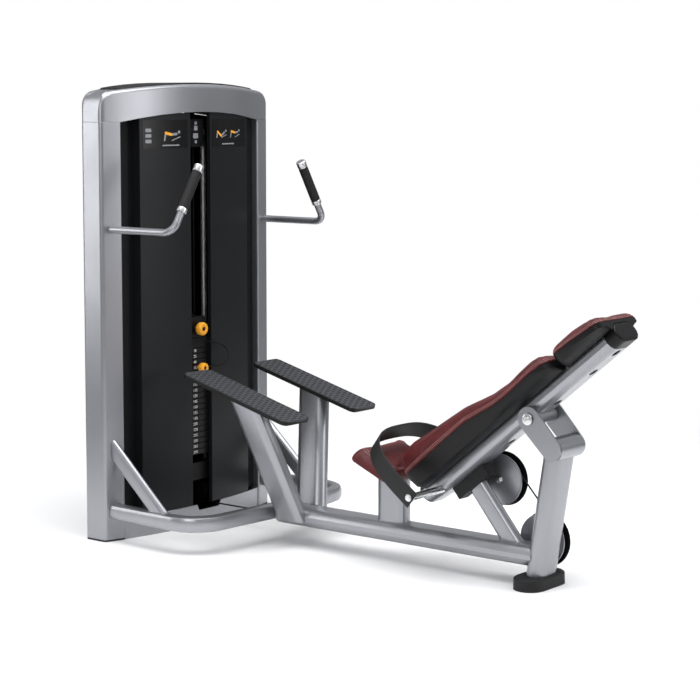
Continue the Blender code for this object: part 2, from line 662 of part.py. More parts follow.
def upright():
    low, high = upright_line(0.044 + GAP), upright_line(0.487)
    flat = ((0, 0, 0.044 + GAP), (0, 0, 1))
    body = piece("rear_upright", *sweep([low, high], (0, 1, 0), racetrack(TUBE_WIDE, TUBE_THIN), flat))
    centre = station(PIVOT_STATION + 0.093, 0, 0.499)
    lean = math.atan(UPRIGHT_SLOPE)
    head = prism(rectangle(0.080, 0.076, 0.033, 5), -0.0725, 0.0725, "y")
    combine(body, cutter("head_tool", head, at=centre, turn=(0, lean, 0)), "UNION")
    for side, name in ((-1, "right"), (1, "left")):
        plate = link_outline(PIVOT, centre, 0.043, 0.039)
        low_y, high_y = sorted((side * 0.0721, side * 0.080))
        combine(body, cutter("link_tool_" + name, prism(plate, low_y, high_y, "y")), "UNION")
    combine(body, cutter("pivot_bore_tool", cylinder(0.0125 + RUN, -0.1, 0.1, "y", 20), at=PIVOT))
    return body


def link_outline(a, b, ra, rb, steps=9):
    """Outline in X and Z around two circles of different radius."""
    d = Vector((b.x - a.x, b.z - a.z))
    base = math.atan2(d.y, d.x)
    spread = math.acos((ra - rb) / d.length)
    out = []
    for centre, r, first, last in ((a, ra, base + spread, base + 2 * math.pi - spread),
                                   (b, rb, base - spread, base + spread)):
        for k in range(steps + 1):
            t = first + (last - first) * k / steps
            out.append((centre.x + r * math.cos(t), centre.z + r * math.sin(t)))
    return out


def base_tube():
    path = [station(BOW_FRONT + BOW_SIZE[0] / 2 + 0.0004, 0, TUBE_Z), station(PIVOT_STATION + 0.036, 0, TUBE_Z)]
    body = piece("base_tube", *sweep(path, (0, 1, 0), racetrack(TUBE_WIDE, TUBE_THIN, 7)))
    oversize = racetrack(TUBE_WIDE + 2 * GAP, TUBE_THIN + 2 * GAP)
    tool = sweep([upright_line(0.0), upright_line(0.3)], (0, 1, 0), oversize)
    combine(body, cutter("upright_cope_tool", tool))
    beyond = box(PIVOT.x + 0.004, PIVOT.x + 0.136, -0.1, 0.1, 0.0, 0.3)
    combine(body, cutter("tube_end_tool", beyond))
    eye = box(PIVOT.x - 0.186, PIVOT.x - 0.152, 0.050, CABLE_Y + 0.008, TUBE_Z - 0.012, TUBE_Z + 0.020)
    combine(body, cutter("cable_eye_tool", eye), "UNION")


def anchor_point():
    return station(PIVOT_STATION - 0.169, CABLE_Y, TUBE_Z + 0.020 + CABLE_R * 0.6)


def plank_axes():
    along = Vector((math.cos(PLANK_TILT), 0, -math.sin(PLANK_TILT)))
    up = Vector((math.sin(PLANK_TILT), 0, math.cos(PLANK_TILT)))
    return along, up


def plank(side, name):
    long, wide, thick = PLANK_SIZE
    outline = rectangle(long, wide, 0.022, 4)
    trim = rectangle(long - 0.004, wide - 0.004, 0.020, 4)
    rings = [[(x, y, -thick) for x, y in trim], [(x, y, 0.002 - thick) for x, y in outline],
             [(x, y, -0.002) for x, y in outline], [(x, y, 0.0) for x, y in trim]]
    at = station(PLANK_MID[0], side * PLANK_MID[1], PLANK_MID[2])
    piece("foot_plank_" + name, *loft(rings), kind="rubber", at=at, turn=(0, PLANK_TILT, 0))


def plank_strut(side, name):
    top = station(0.480, side * 0.200, 0.56)
    foot = station(0.587, side * 0.054, 0.100)
    _, up = plank_axes()
    under = station(PLANK_MID[0], 0, PLANK_MID[2]) - up * (PLANK_SIZE[2] + GAP)
    section = racetrack(TUBE_WIDE, 0.066)
    shape = sweep([foot, top], (1, 0, 0), section, ((0, 0, 0.096), (0, 0, 1)), (under, up))
    body = piece("plank_strut_" + name, *shape)
    oversize = racetrack(TUBE_WIDE + 2 * GAP, TUBE_THIN + 2 * GAP, 7)
    tool = sweep([station(0.45, 0, TUBE_Z), station(0.80, 0, TUBE_Z)], (0, 1, 0), oversize)
    combine(body, cutter("strut_cope_tool_" + name, tool))


def seat_frame():
    """Origin on the underside of the pad at its nose; x down the slope, z out of the seat."""
    return station(SEAT_NOSE[0], 0, SEAT_NOSE[1]), (0, SEAT_TILT, 0)


def seat():
    at, turn = seat_frame()
    up = Vector((math.sin(SEAT_TILT), 0, math.cos(SEAT_TILT)))
    plate_t = 0.006
    under = at - up * (plate_t + GAP)
    foot = TUBE_Z + TUBE_THIN / 2 + GAP
    path = [station(POST_X, 0, foot), station(POST_X, 0, 0.30)]
    section = racetrack(TUBE_WIDE, TUBE_THIN, 7)
    post = piece("seat_post", *sweep(path, (1, 0, 0), section, None, (under + up * 0.003, up)))
    long, wide, thick = SEAT_SIZE
    slab = [(x + long / 2, y) for x, y in rectangle(long - 0.03, wide - 0.07, 0.012, 2)]
    combine(post, cutter("seat_plate_tool", prism(slab, -plate_t - GAP, -GAP), at=at, turn=turn), "UNION")
    rings = []
    for height, inset, r in ((0.0, 0.004, 0.022), (0.006, 0.0, 0.026), (0.020, 0.001, 0.026),
                             (0.036, 0.010, 0.024), (0.048, 0.021, 0.022), (0.055, 0.034, 0.020),
                             (0.058, 0.054, 0.016)):
        out = rectangle(long - 1.1 * inset, wide - 2 * inset, r, 4)
        rings.append([(x + long / 2, y, height * thick / 0.058) for x, y in out])
    piece("seat_pad", *loft(rings), kind="vinyl", at=at, turn=turn, smooth=60)


def boot():
    rings = []
    for z, inset in ((0.0, 0.0), (0.038, 0.001), (0.044, 0.007)):
        out = racetrack(0.236 - 2 * inset, 0.116 - 2 * inset, 8)
        rings.append([(PIVOT.x - 0.001 + b, a, z) for a, b in out])
    piece("rear_boot", *loft(rings), kind="rubber")


def handle(side, name):
    y, z = side * HANDLE_Y, HANDLE_Z
    lean = Vector((0, -side * 0.512, 0.859))
    corner = station(0.335, y, z)
    path = bend([station(0.0, y, z), corner, corner + lean * 0.285], [0.045], 6)
    piece("handle_" + name, *sweep(path, lean.cross(Vector((1, 0, 0))),
                                   [(HANDLE_R * math.cos(t * math.pi / 8), HANDLE_R * math.sin(t * math.pi / 8))
                                    for t in range(16)], column_face(side)))
    tilt = Vector((0, 0, 1)).rotation_difference(lean).to_euler()
    bore = HANDLE_R + GAP
    grip = [(bore, 0.0), (GRIP_R, 0.001), (GRIP_R, 0.150), (bore, 0.152)]
    piece("grip_" + name, *lathe(grip, 16, "z", through=True), kind="rubber",
          at=corner + lean * 0.105, turn=tilt)


def rear_strut():
    """Stop strut square to the bench, on the base tube."""
    along, up = arm_axes()
    at_s = -0.376
    top = PIVOT + along * at_s + up * (-0.047)
    foot = PIVOT + along * at_s + up * (-0.30)
    section = [(b, a) for a, b in racetrack(0.076, 0.038)][::-1]
    floor = ((0, 0, TUBE_Z + TUBE_THIN / 2 + GAP), (0, 0, 1))
    shape = sweep([foot, top], (0, 1, 0), section, floor)
    piece("rear_strut", *shape)
    arm = rest_frame()
    pad = rectangle(0.167, 0.060, 0.006, 2)
    pad = [(x - 0.378, y) for x, y in pad]
    verts, faces = prism(pad, -0.047 + GAP, BEAM_UNDER - GAP)
    piece("stop_bumper", [arm @ Vector(v) for v in verts], faces, kind="rubber")


def arm_axes():
    along = Vector((math.cos(BENCH_TILT), 0, math.sin(BENCH_TILT)))
    up = Vector((-math.sin(BENCH_TILT), 0, math.cos(BENCH_TILT)))
    return along, up


def rest_frame():
    """Matrix from the arm's axes, at rest, to the machine's."""
    return Matrix.Translation(PIVOT) @ Matrix.Rotation(-BENCH_TILT, 4, "Y")


def large_sheave_centres():
    low = station(PIVOT_STATION - 0.0344, CABLE_Y, CABLE_Z + LARGE_PITCH)
    high = rest_frame() @ Vector((SHEAVE_AT[0], CABLE_Y, SHEAVE_AT[1]))
    return low, high


def guard_spool(inner_end):
    """Bolt, dished near plate and flat far disc on one axle; heights along Y."""
    return lathe([(0.004, inner_end), (0.011, inner_end), (0.011, 0.0675), (0.040, 0.0675), (0.070, 0.0665),
                  (0.088, 0.0668), (0.092, 0.0685), (0.092, 0.0705), (0.087, 0.0705), (0.070, 0.0690),
                  (0.040, 0.0695), (0.010, 0.0695), (0.010, 0.0722), (0.0065, 0.0722), (0.0065, 0.0952),
                  (0.010, 0.0952), (0.010, 0.0965), (0.098, 0.0965), (0.098, 0.0995), (0.004, 0.0995)], 22, "y")


def base_sheave():
    low, _ = large_sheave_centres()
    at = (low.x, 0, low.z)
    piece("base_sheave_guard", *guard_spool(0.0658), kind="plastic", at=at)
    wheel = axis_empty("base_sheave_axis", at)
    shift = [(x, y + CABLE_Y, z) for x, y, z in sheave(LARGE_PITCH, 0.0065, 0.0105, 0.005)[0]]
    piece("base_sheave", shift, sheave(LARGE_PITCH, 0.0065, 0.0105, 0.005)[1], kind="plastic", parent=wheel)


# ---- bench arm ---------------------------------------------------------------------------
def lift_of(s):
    """Upward bend of the beam near its lower end."""
    if s >= BEND_FROM:
        return 0.0
    return BEAM_LIFT * ((BEND_FROM - s) / (BEND_FROM - BEAM_LOW)) ** 2


def beam_ring(s, shrink=0.0, steps=7):
    mid = BEAM_UNDER + TUBE_THIN / 2 + lift_of(s)
    return [(s, a, mid + b) for a, b in racetrack(TUBE_WIDE - shrink, TUBE_THIN - shrink, steps)]


def beam(arm):
    stations = [BEAM_LOW + 0.004, -0.53, -0.50, -0.47, BEND_FROM, 0.0, BEAM_HIGH]
    body = piece("bench_beam", *loft([beam_ring(s) for s in stations]), parent=arm)
    combine(body, cutter("hub_tool", cylinder(0.0265, -0.0705, 0.0705, "y", 22), arm), "UNION")
    combine(body, cutter("hub_bore_tool", cylinder(0.0125 + RUN, -0.1, 0.1, "y", 20), arm))
    combine(body, cutter("rod_bore_tool", cylinder(0.013 + GAP, -0.1, 0.1, "y", 16), arm, (ROD_AT[0], 0, ROD_AT[1])))
    high = BEAM_HIGH + CAP_LEN
    rings = [beam_ring(BEAM_HIGH + GAP), beam_ring(high - 2 * CAP_EDGE),
             beam_ring(high - CAP_EDGE / 2, 2 * CAP_EDGE), beam_ring(high, 7 * CAP_EDGE)]
    piece("beam_cap", *loft(rings), kind="plastic", parent=arm)
    low = [beam_ring(BEAM_LOW + 0.004 - GAP), beam_ring(BEAM_LOW + 0.001), beam_ring(BEAM_LOW, 0.008)]
    piece("beam_plug", *loft(low), kind="plastic", parent=arm)


def pivot_shaft():
    shape = [(0.006, -0.0872), (0.014, -0.0865), (0.016, -0.0845), (0.016, -0.0803), (0.0125, -0.0803),
             (0.0125, 0.0803), (0.016, 0.0803), (0.016, 0.0845), (0.014, 0.0865), (0.006, 0.0872)]
    piece("pivot_shaft", *lathe(shape, 20), kind="chrome", at=PIVOT)


def blend_along(s, knots):
    """Straight-line reading between (s, value) knots."""
    for (s0, v0), (s1, v1) in zip(knots, knots[1:]):
        if s <= s1:
            return v0 + (v1 - v0) * max(0.0, (s - s0) / (s1 - s0))
    return knots[-1][1]


def end_width(s, low, high, half, r):
    """Half width of a pad with rounded corners."""
    d = min(s - low, high - s)
    if d >= r:
        return half
    return half - r + math.sqrt(max(r * r - (r - max(d, 0.0)) ** 2, 0.0))


def pad_stations(low, high, r, inner):
    near = [low, low + r * 0.12, low + r * 0.4, low + r]
    far = [high - r, high - r * 0.4, high - r * 0.12, high]
    return near + inner + far


def shell(name, low, high, half, seam, inner, arm):
    """Moulded tray that straddles the beam and carries a pad."""
    r = 0.034
    rings = []
    for s in pad_stations(low, high, r, inner):
        w = end_width(s, low, high, half, r)
        up, lift = blend_along(s, seam), lift_of(s)
        side = [(w, up), (w - 0.002, up - 0.016), (w - 0.020, 0.062 + lift), (w - 0.045, 0.053 + lift),
                (0.072, 0.0505 + lift)]
        mid = BEAM_UNDER + TUBE_THIN / 2 + lift
        for angle in (27.0, 45.0, 67.0, 90.0):
            t = math.radians(angle)
            side.append((0.029 + 0.0368 * math.cos(t), mid + 0.0368 * math.sin(t)))
        rings.append([(s, y, n) for y, n in side] + [(s, -y, n) for y, n in reversed(side)])
    piece(name, *loft(rings), kind="plastic", parent=arm)


def pad(name, low, high, half, seam, top, inner, arm):
    """Upholstered cushion on its tray, with sloping sides and a slight hollow along the middle."""
    r = 0.034
    rings = []
    for s in pad_stations(low, high, r, inner):
        w = end_width(s, low, high, half, r)
        base, crest = blend_along(s, seam) + GAP, blend_along(s, top)
        h = crest - base
        side = [(w, base), (w + 0.0005, base + 0.25 * h), (w - 0.006, base + 0.62 * h),
                (w - 0.016, base + 0.88 * h), (w - 0.034, crest), (w - 0.075, crest - 0.001)]
        middle = [(0.0, crest - 0.004)]
        rings.append([(s, -y, n) for y, n in side] + [(s, y, n) for y, n in middle]
                     + [(s, y, n) for y, n in reversed(side)])
    piece(name, *loft(rings), kind="vinyl", parent=arm, smooth=60)


BACK_RANGE = (-0.538, 0.222)
HEAD_RANGE = (0.236, 0.462)
BACK_SEAM = [(-0.538, 0.116), (-0.39, 0.120), (-0.19, 0.1215), (-0.16, 0.117), (-0.05, 0.099),
             (0.014, 0.097), (0.147, 0.101), (0.19, 0.097), (0.222, 0.091)]
BACK_TOP = [(-0.538, 0.140), (-0.534, 0.160), (-0.524, 0.180), (-0.504, 0.196), (-0.47, 0.200),
            (-0.34, 0.187), (-0.18, 0.169), (-0.13, 0.157), (-0.06, 0.140), (0.0, 0.133),
            (0.13, 0.137), (0.188, 0.133), (0.208, 0.124), (0.218, 0.112), (0.222, 0.104)]
HEAD_SEAM = [(0.236, 0.100), (0.33, 0.096), (0.462, 0.083)]
HEAD_TOP = [(0.236, 0.112), (0.240, 0.118), (0.250, 0.124), (0.27, 0.128), (0.35, 0.127),
            (0.428, 0.116), (0.448, 0.111), (0.458, 0.103), (0.462, 0.096)]


def belt_rod(arm):
    r = 0.013
    half = [(r, 0.0), (r, 0.236), (0.017, 0.236), (0.017, 0.2405), (0.007, 0.2405), (0.007, 0.2485),
            (0.011, 0.2485), (0.011, ROD_HALF - 0.001), (0.009, ROD_HALF)]
    shape = [(a, -b) for a, b in reversed(half[1:])] + half[1:]
    piece("belt_rod", *lathe(shape, 16), kind="chrome", parent=arm, at=(ROD_AT[0], 0, ROD_AT[1]))


def hip_belt(arm):
    """Webbing loop over the bench; its ends hang on the rod's studs."""
    reach = 0.2445
    power = 2.0 / 2.9
    path = [(-reach, -0.016)]
    count = 24
    for k in range(1, count):
        c, s = math.cos(math.pi * k / count), math.sin(math.pi * k / count)
        path.append((-reach * math.copysign(abs(c) ** power, c), BELT_ARCH * s ** power))
    path.append((reach, -0.016))
    h = Vector((-math.sin(BELT_LEAN), 0, math.cos(BELT_LEAN)))
    wide = Vector((math.cos(BELT_LEAN), 0, math.sin(BELT_LEAN)))
    points = [Vector((0, y, 0)) + h * z for y, z in path]
    outline = rectangle(BELT_WIDTH, BELT_T, 0.002, 1)
    rings = []
    for i, spot in enumerate(points):
        tangent = (points[min(i + 1, len(points) - 1)] - points[max(i - 1, 0)]).normalized()
        normal = wide.cross(tangent)
        rings.append([spot + wide * a + normal * b for a, b in outline])
    body = piece("hip_belt", *loft(rings), kind="webbing", parent=arm, at=(ROD_AT[0], 0, ROD_AT[1]))
    hole = cylinder(0.0078, -0.3, 0.3, "y", 12)
    combine(body, cutter("belt_hole_tool", hole, arm, (ROD_AT[0], 0, ROD_AT[1])))


def arm_sheave(arm):
    at = (SHEAVE_AT[0], 0, SHEAVE_AT[1])
    spool = piece("arm_sheave_guard", *guard_spool(0.0600), kind="plastic", parent=arm, at=at)
    tab = box(-0.030, 0.030, 0.0656, 0.0697, 0.055, 0.088)
    combine(spool, cutter("tab_tool", tab, arm, at), "UNION")
    wheel = axis_empty("arm_sheave_axis", at)
    wheel.parent = arm
    verts, faces = sheave(LARGE_PITCH, 0.0065, 0.0105, 0.005)
    piece("arm_sheave", [(x, y + CABLE_Y, z) for x, y, z in verts], faces, kind="plastic", parent=wheel)


# ---- cable -------------------------------------------------------------------------------
def cables(lift):
    cx = X0 + STACK_X
    top, turn = top_pulley_place()
    hub_z = lift.location.z + HEAD_T + GAP + 0.009 + HEAD_PITCH + 0.007
    loop = [Vector((cx, -HEAD_PITCH, BAR_Z[0] - GAP)), Vector((cx, -HEAD_PITCH, (BAR_Z[0] + hub_z) / 2))]
    loop += arc((cx, 0, hub_z), HEAD_PITCH, 180, 360, across=(-1, 0, 0), zero=(0, 1, 0), steps=10)
    loop += [Vector((cx, HEAD_PITCH, (BAR_Z[0] + hub_z) / 2)), Vector((cx, HEAD_PITCH, top.z))]
    tube_curve("cable_lift_loop", loop, CABLE_R, "cable")
    x_down, y_down = down_run()
    plane = Vector((math.cos(turn), math.sin(turn), 0))
    run = arc(top, SMALL_PITCH, 179.0, 0.0, across=(-plane.y, plane.x, 0), zero=plane, steps=10)
    low, high = large_sheave_centres()
    foot = Vector((x_down + SMALL_PITCH, CABLE_Y, CABLE_Z + SMALL_PITCH))
    run += arc(foot, SMALL_PITCH, 180.0, 270.0, across=(0, 1, 0), steps=6)
    axis = (high - low).normalized()
    out = Vector((axis.z, 0, -axis.x))
    lift_off = math.degrees(math.atan2(out.z, out.x))
    run += arc(low, LARGE_PITCH, -90.0, lift_off - 2.0, across=(0, 1, 0), steps=12)
    tube_curve("cable_frame_run", run, CABLE_R, "cable")
    anchor = anchor_point()
    gap = Vector((anchor.x - high.x, 0, anchor.z - high.z))
    tilt = math.degrees(math.atan2(gap.z, gap.x))
    leave = tilt - math.degrees(math.acos(LARGE_PITCH / gap.length)) + 360.0
    arm_run = arc(low, LARGE_PITCH, lift_off - 1.0, lift_off, across=(0, 1, 0), steps=1)
    arm_run += arc(high, LARGE_PITCH, lift_off, leave, across=(0, 1, 0), steps=16)
    arm_run.append(anchor)
    tube_curve("cable_arm_loop", arm_run, CABLE_R, "cable")


def build():
    for side, name in ((-1, "right"), (1, "left")):
        column(side, name)
        shroud(side, name)
        brace(side, name)
        plank(side, name)
        plank_strut(side, name)
        handle(side, name)
    cap()
    cover()
    pan()
    rear_shroud()
    lift = stack()
    stack_guides()
    crossbar()
    bow()
    upright()
    base_tube()
    seat()
    boot()
    rear_strut()
    base_sheave()
    pivot_shaft()
    arm = axis_empty("bench_axis", PIVOT, (0, -BENCH_TILT, 0))
    beam(arm)
    inner = [-0.47, -0.39, -0.34, -0.19, -0.16, -0.13, -0.05, 0.014, 0.08, 0.147]
    shell("back_shell", *BACK_RANGE, PAD_HALF, BACK_SEAM, inner, arm)
    pad("back_pad", *BACK_RANGE, PAD_HALF, BACK_SEAM, BACK_TOP, inner, arm)
    inner = [0.30, 0.34, 0.39]
    shell("head_shell", *HEAD_RANGE, HEADREST_HALF, HEAD_SEAM, inner, arm)
    pad("headrest", *HEAD_RANGE, HEADREST_HALF, HEAD_SEAM, HEAD_TOP, inner, arm)
    belt_rod(arm)
    hip_belt(arm)
    arm_sheave(arm)
    cables(lift)


build()
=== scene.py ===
# %% [markdown]
# # A glute bridge machine, dressed
# The machine is a steel tower with a weight stack, a flat-oval tube frame, two rubber-topped foot
# planks, an upholstered seat and a hinged, padded bench with a hip belt.  Its working frame comes
# in already packed, with every moving body in place.  This lesson puts the real surfaces on it:
# powder coat, vinyl over foam, moulded rubber, chrome, webbing and steel rope.

# %% Load the frame
import math

import bmesh
import bpy
import json
import numpy as np
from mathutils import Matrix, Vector
from mathutils.bvhtree import BVHTree


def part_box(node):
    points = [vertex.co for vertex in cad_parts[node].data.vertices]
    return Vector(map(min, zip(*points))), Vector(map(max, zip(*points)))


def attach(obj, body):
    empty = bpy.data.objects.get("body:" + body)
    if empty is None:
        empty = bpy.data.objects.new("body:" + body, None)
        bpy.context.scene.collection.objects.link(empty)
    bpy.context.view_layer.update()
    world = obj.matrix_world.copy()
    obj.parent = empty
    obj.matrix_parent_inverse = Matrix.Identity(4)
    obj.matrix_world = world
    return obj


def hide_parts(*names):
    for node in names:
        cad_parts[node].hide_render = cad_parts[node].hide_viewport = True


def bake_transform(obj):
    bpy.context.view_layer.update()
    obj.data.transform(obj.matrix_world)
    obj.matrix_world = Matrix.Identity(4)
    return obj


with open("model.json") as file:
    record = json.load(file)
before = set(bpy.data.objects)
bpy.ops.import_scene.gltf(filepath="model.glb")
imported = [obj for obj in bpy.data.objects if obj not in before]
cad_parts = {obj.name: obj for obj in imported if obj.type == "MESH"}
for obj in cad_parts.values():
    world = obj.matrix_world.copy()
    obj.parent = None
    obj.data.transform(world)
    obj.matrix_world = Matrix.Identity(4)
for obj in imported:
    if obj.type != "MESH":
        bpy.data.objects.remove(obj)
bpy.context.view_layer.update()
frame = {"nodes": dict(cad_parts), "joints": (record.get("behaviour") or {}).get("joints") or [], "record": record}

# %% [markdown]
# ## Where the machine's main places are
# Everything is placed from the frame's own pieces, so nothing drifts when the frame is rebuilt.
# The bench has axes of its own: `s` runs up the beam, `y` across it and `n` out of the pads.

# %% Main places, read from the frame
def box_of(node):
    """Low corner and high corner of a frame node as arrays."""
    low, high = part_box(node)
    return np.array(low), np.array(high)


JOINTS = {joint["name"]: joint for joint in frame["joints"]}
NODE_BODY = {node: body for body, nodes in frame["record"]["behaviour"]["bodies"].items() for node in nodes}
PIVOT = np.array(JOINTS["bench_swing"]["pos_m"])
BENCH_TILT = math.radians(39.6)
ALONG = np.array([math.cos(BENCH_TILT), 0.0, math.sin(BENCH_TILT)])
OUT = np.array([-math.sin(BENCH_TILT), 0.0, math.cos(BENCH_TILT)])
ACROSS = np.array([0.0, 1.0, 0.0])


def bench(s, y, n):
    """Point of the bench: s up the beam, y across, n out of the pads; arrays broadcast."""
    s, y, n = np.broadcast_arrays(s, y, n)
    return PIVOT + s[..., None] * ALONG + y[..., None] * ACROSS + n[..., None] * OUT


# %% [markdown]
# ## Camera, floor and light
# The camera stands to the front right at head height with a long lens, so the tower's sides stay
# close to parallel.  The white floor fades into white air.  Two strip softboxes and the banded
# air give the silver tubes their bright and dark stretches; an overhead light and a front fill
# do the rest.

# %% Camera
CAMERA_AT = (4.460, -5.698, 1.700)
CAMERA_TURN = math.radians(38.73)
CAMERA_DOWN = math.radians(5.5)
camera = bpy.data.objects.new("camera", bpy.data.cameras.new("camera"))
bpy.context.scene.collection.objects.link(camera)
camera.location = CAMERA_AT
camera.rotation_euler = (math.pi / 2 - CAMERA_DOWN, 0.0, CAMERA_TURN)
camera.data.sensor_width = 36.0
camera.data.lens = 102.0
camera.data.shift_y = -0.091
bpy.context.scene.camera = camera


# %% [markdown]
# ## Colour and node helpers
# Paint shops give colours as sRGB hex values, while the shader works in linear light, so one
# function converts them.  Another adds a shader node with its settings and its links in one line.

# %% Colour and node helpers
def colour(code, alpha=1.0):
    """sRGB hex to linear: c/12.92 in the dark, ((c+0.055)/1.055)^2.4 above."""
    srgb = np.array([int(code[i:i + 2], 16) / 255.0 for i in (1, 3, 5)])
    linear = np.where(srgb <= 0.04045, srgb / 12.92, ((srgb + 0.055) / 1.055) ** 2.4)
    return (*linear.tolist(), alpha)


def add(tree, kind, links=(), **settings):
    """Adds one node; settings are its properties or inputs, links are (input, output) pairs."""
    node = tree.nodes.new(kind)
    for name, value in settings.items():
        if hasattr(node, name):
            setattr(node, name, value)
        else:
            node.inputs[name.replace("_", " ")].default_value = value
    for socket, source in links:
        tree.links.new(node.inputs[socket], source)
    return node


def new_material(name, base, metallic=0.0, roughness=0.5, **extra):
    """Principled material with constant sockets; returns material, tree and shader."""
    mat = bpy.data.materials.new(name)
    mat.use_nodes = True
    tree = mat.node_tree
    shader = tree.nodes["Principled BSDF"]
    shader.inputs["Base Color"].default_value = colour(base)
    shader.inputs["Metallic"].default_value = metallic
    shader.inputs["Roughness"].default_value = roughness
    for socket, value in extra.items():
        shader.inputs[socket.replace("_", " ")].default_value = value
    return mat, tree, shader


def ramp(tree, source, low, high, at=(0.3, 0.7)):
    """Two-stop colour ramp between two hex colours."""
    node = add(tree, "ShaderNodeValToRGB", [("Fac", source)])
    node.color_ramp.elements[0].position, node.color_ramp.elements[1].position = at
    node.color_ramp.elements[0].color, node.color_ramp.elements[1].color = colour(low), colour(high)
    return node.outputs["Color"]


def band(tree, source, low, high):
    """Number stretched between two values."""
    node = add(tree, "ShaderNodeMapRange", [("Value", source)], To_Min=low, To_Max=high)
    return node.outputs["Result"]


def bump(tree, shader, height, strength, distance, previous=None):
    """Bump of a real height in metres, stacked on an earlier one if given."""
    links = [("Height", height)] + ([("Normal", previous)] if previous else [])
    node = add(tree, "ShaderNodeBump", links, Strength=strength, Distance=distance)
    tree.links.new(shader.inputs["Normal"], node.outputs["Normal"])
    return node.outputs["Normal"]


def metres(tree):
    """Object coordinates, which are metres because every piece sits at the origin."""
    return add(tree, "ShaderNodeTexCoord").outputs["Object"]


# %% [markdown]
# ## Floor and lights
# The floor is a plain white sheet whose edge fades out, so no horizon shows behind the machine.
# The lights are area lamps, as a studio's softboxes are, placed for the tubes' reflections.

# %% Floor and lights
FLOOR_HALF = 4.0                    # half side of the floor, m
FADE_FROM, FADE_TO = 1.9, 3.4       # the floor is solid up to here, and gone from there


def studio_floor():
    """A matt white floor that fades into the white air round it, so no horizon shows."""
    mat, tree, shader = new_material("matt white studio floor", "#fbfbfb", roughness=0.9)
    place = add(tree, "ShaderNodeTexCoord").outputs["Object"]
    far = add(tree, "ShaderNodeVectorMath", [("Vector", place)], operation="LENGTH")
    fade = add(tree, "ShaderNodeMapRange", [("Value", far.outputs["Value"])],
               From_Min=FADE_FROM, From_Max=FADE_TO, To_Min=1.0, To_Max=0.0)
    tree.links.new(shader.inputs["Alpha"], fade.outputs["Result"])
    half = FLOOR_HALF
    mesh = bpy.data.meshes.new("studio_floor")
    corners = [(-half, -half, 0), (half, -half, 0), (half, half, 0), (-half, half, 0)]
    mesh.from_pydata(corners, [], [(0, 1, 2, 3)])
    mesh.materials.append(mat)
    floor = bpy.data.objects.new("studio_floor", mesh)
    bpy.context.scene.collection.objects.link(floor)


def studio_air():
    """White where it is seen, and a soft room of light and dark bands where it is reflected."""
    world = bpy.data.worlds.new("studio air")
    world.use_nodes = True
    tree = world.node_tree
    seen = tree.nodes["Background"]
    seen.inputs["Color"].default_value = colour("#ffffff")
    seen.inputs["Strength"].default_value = 1.0
    ray = add(tree, "ShaderNodeLightPath")
    way = add(tree, "ShaderNodeTexCoord").outputs["Generated"]
    bands = add(tree, "ShaderNodeTexWave", [("Vector", way)], Scale=0.9, Distortion=1.5, Detail=1.0)
    up = add(tree, "ShaderNodeSeparateXYZ", [("Vector", way)])
    sky = add(tree, "ShaderNodeMapRange", [("Value", up.outputs["Z"])],
              From_Min=-0.1, From_Max=0.9, To_Min=0.42, To_Max=1.15)
    level = add(tree, "ShaderNodeMapRange", [("Value", bands.outputs["Fac"])], To_Min=0.15, To_Max=1.0)
    power = add(tree, "ShaderNodeMath", [(0, sky.outputs["Result"]), (1, level.outputs["Result"])],
                operation="MULTIPLY")
    room = add(tree, "ShaderNodeBackground", [("Strength", power.outputs["Value"])], Color=colour("#fbfcff"))
    sources = [("Fac", ray.outputs["Is Camera Ray"]), (1, room.outputs["Background"]),
               (2, seen.outputs["Background"])]
    mix = add(tree, "ShaderNodeMixShader", sources)
    tree.links.new(tree.nodes["World Output"].inputs["Surface"], mix.outputs["Shader"])
    bpy.context.scene.world = world


def softbox(name, at, aim, size, power):
    """Rectangular area light turned towards a point."""
    data = bpy.data.lights.new(name, "AREA")
    data.shape, data.size, data.size_y, data.energy = "RECTANGLE", size[0], size[1], power
    light = bpy.data.objects.new(name, data)
    light.location = at
    light.rotation_euler = (Vector(aim) - Vector(at)).to_track_quat("-Z", "Y").to_euler()
    bpy.context.scene.collection.objects.link(light)


studio_floor()
studio_air()
softbox("overhead", (0.3, -0.3, 4.6), (0.1, 0.0, 0.5), (5.0, 3.6), 230.0)
softbox("left strip", (-3.6, -3.0, 2.0), (-0.6, 0.0, 0.9), (0.8, 3.2), 40.0)
softbox("right strip", (4.0, 1.6, 2.0), (0.2, 0.0, 0.7), (1.2, 3.2), 45.0)
softbox("front fill", (1.2, -5.6, 2.6), (0.0, 0.0, 0.8), (2.4, 1.6), 60.0)
bpy.context.scene.view_settings.view_transform = "Standard"

# %% [markdown]
# ## Surfaces from arrays
# Every new piece is a grid of points.  One function turns a grid into a mesh, closing it round if
# asked and capping its ends.  A tube is such a grid too: an outline carried along a path.

# %% Grid to mesh
def piece(name, mesh, material, body, stands_for=(), smooth=40.0):
    """Puts a finished mesh in the scene, on its body, standing for its frame nodes."""
    mesh.materials.clear()
    mesh.materials.append(material)
    mesh.polygons.foreach_set("use_smooth", np.ones(len(mesh.polygons), bool))
    mesh.set_sharp_from_angle(angle=math.radians(smooth))
    thing = bpy.data.objects.new(name, mesh)
    bpy.context.scene.collection.objects.link(thing)
    if body:
        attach(thing, body)
    if stands_for:
        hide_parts(*stands_for)
    return thing


def grid_faces(rows, cols, wrap_rows, wrap_cols, start=0):
    """Quads of a rows by cols grid of points, as an index array."""
    i = np.arange(rows if wrap_rows else rows - 1)[:, None]
    j = np.arange(cols if wrap_cols else cols - 1)[None, :]
    i2, j2 = (i + 1) % rows, (j + 1) % cols
    quad = np.stack(np.broadcast_arrays(i * cols + j, i * cols + j2, i2 * cols + j2, i2 * cols + j), -1)
    return quad.reshape(-1, 4) + start


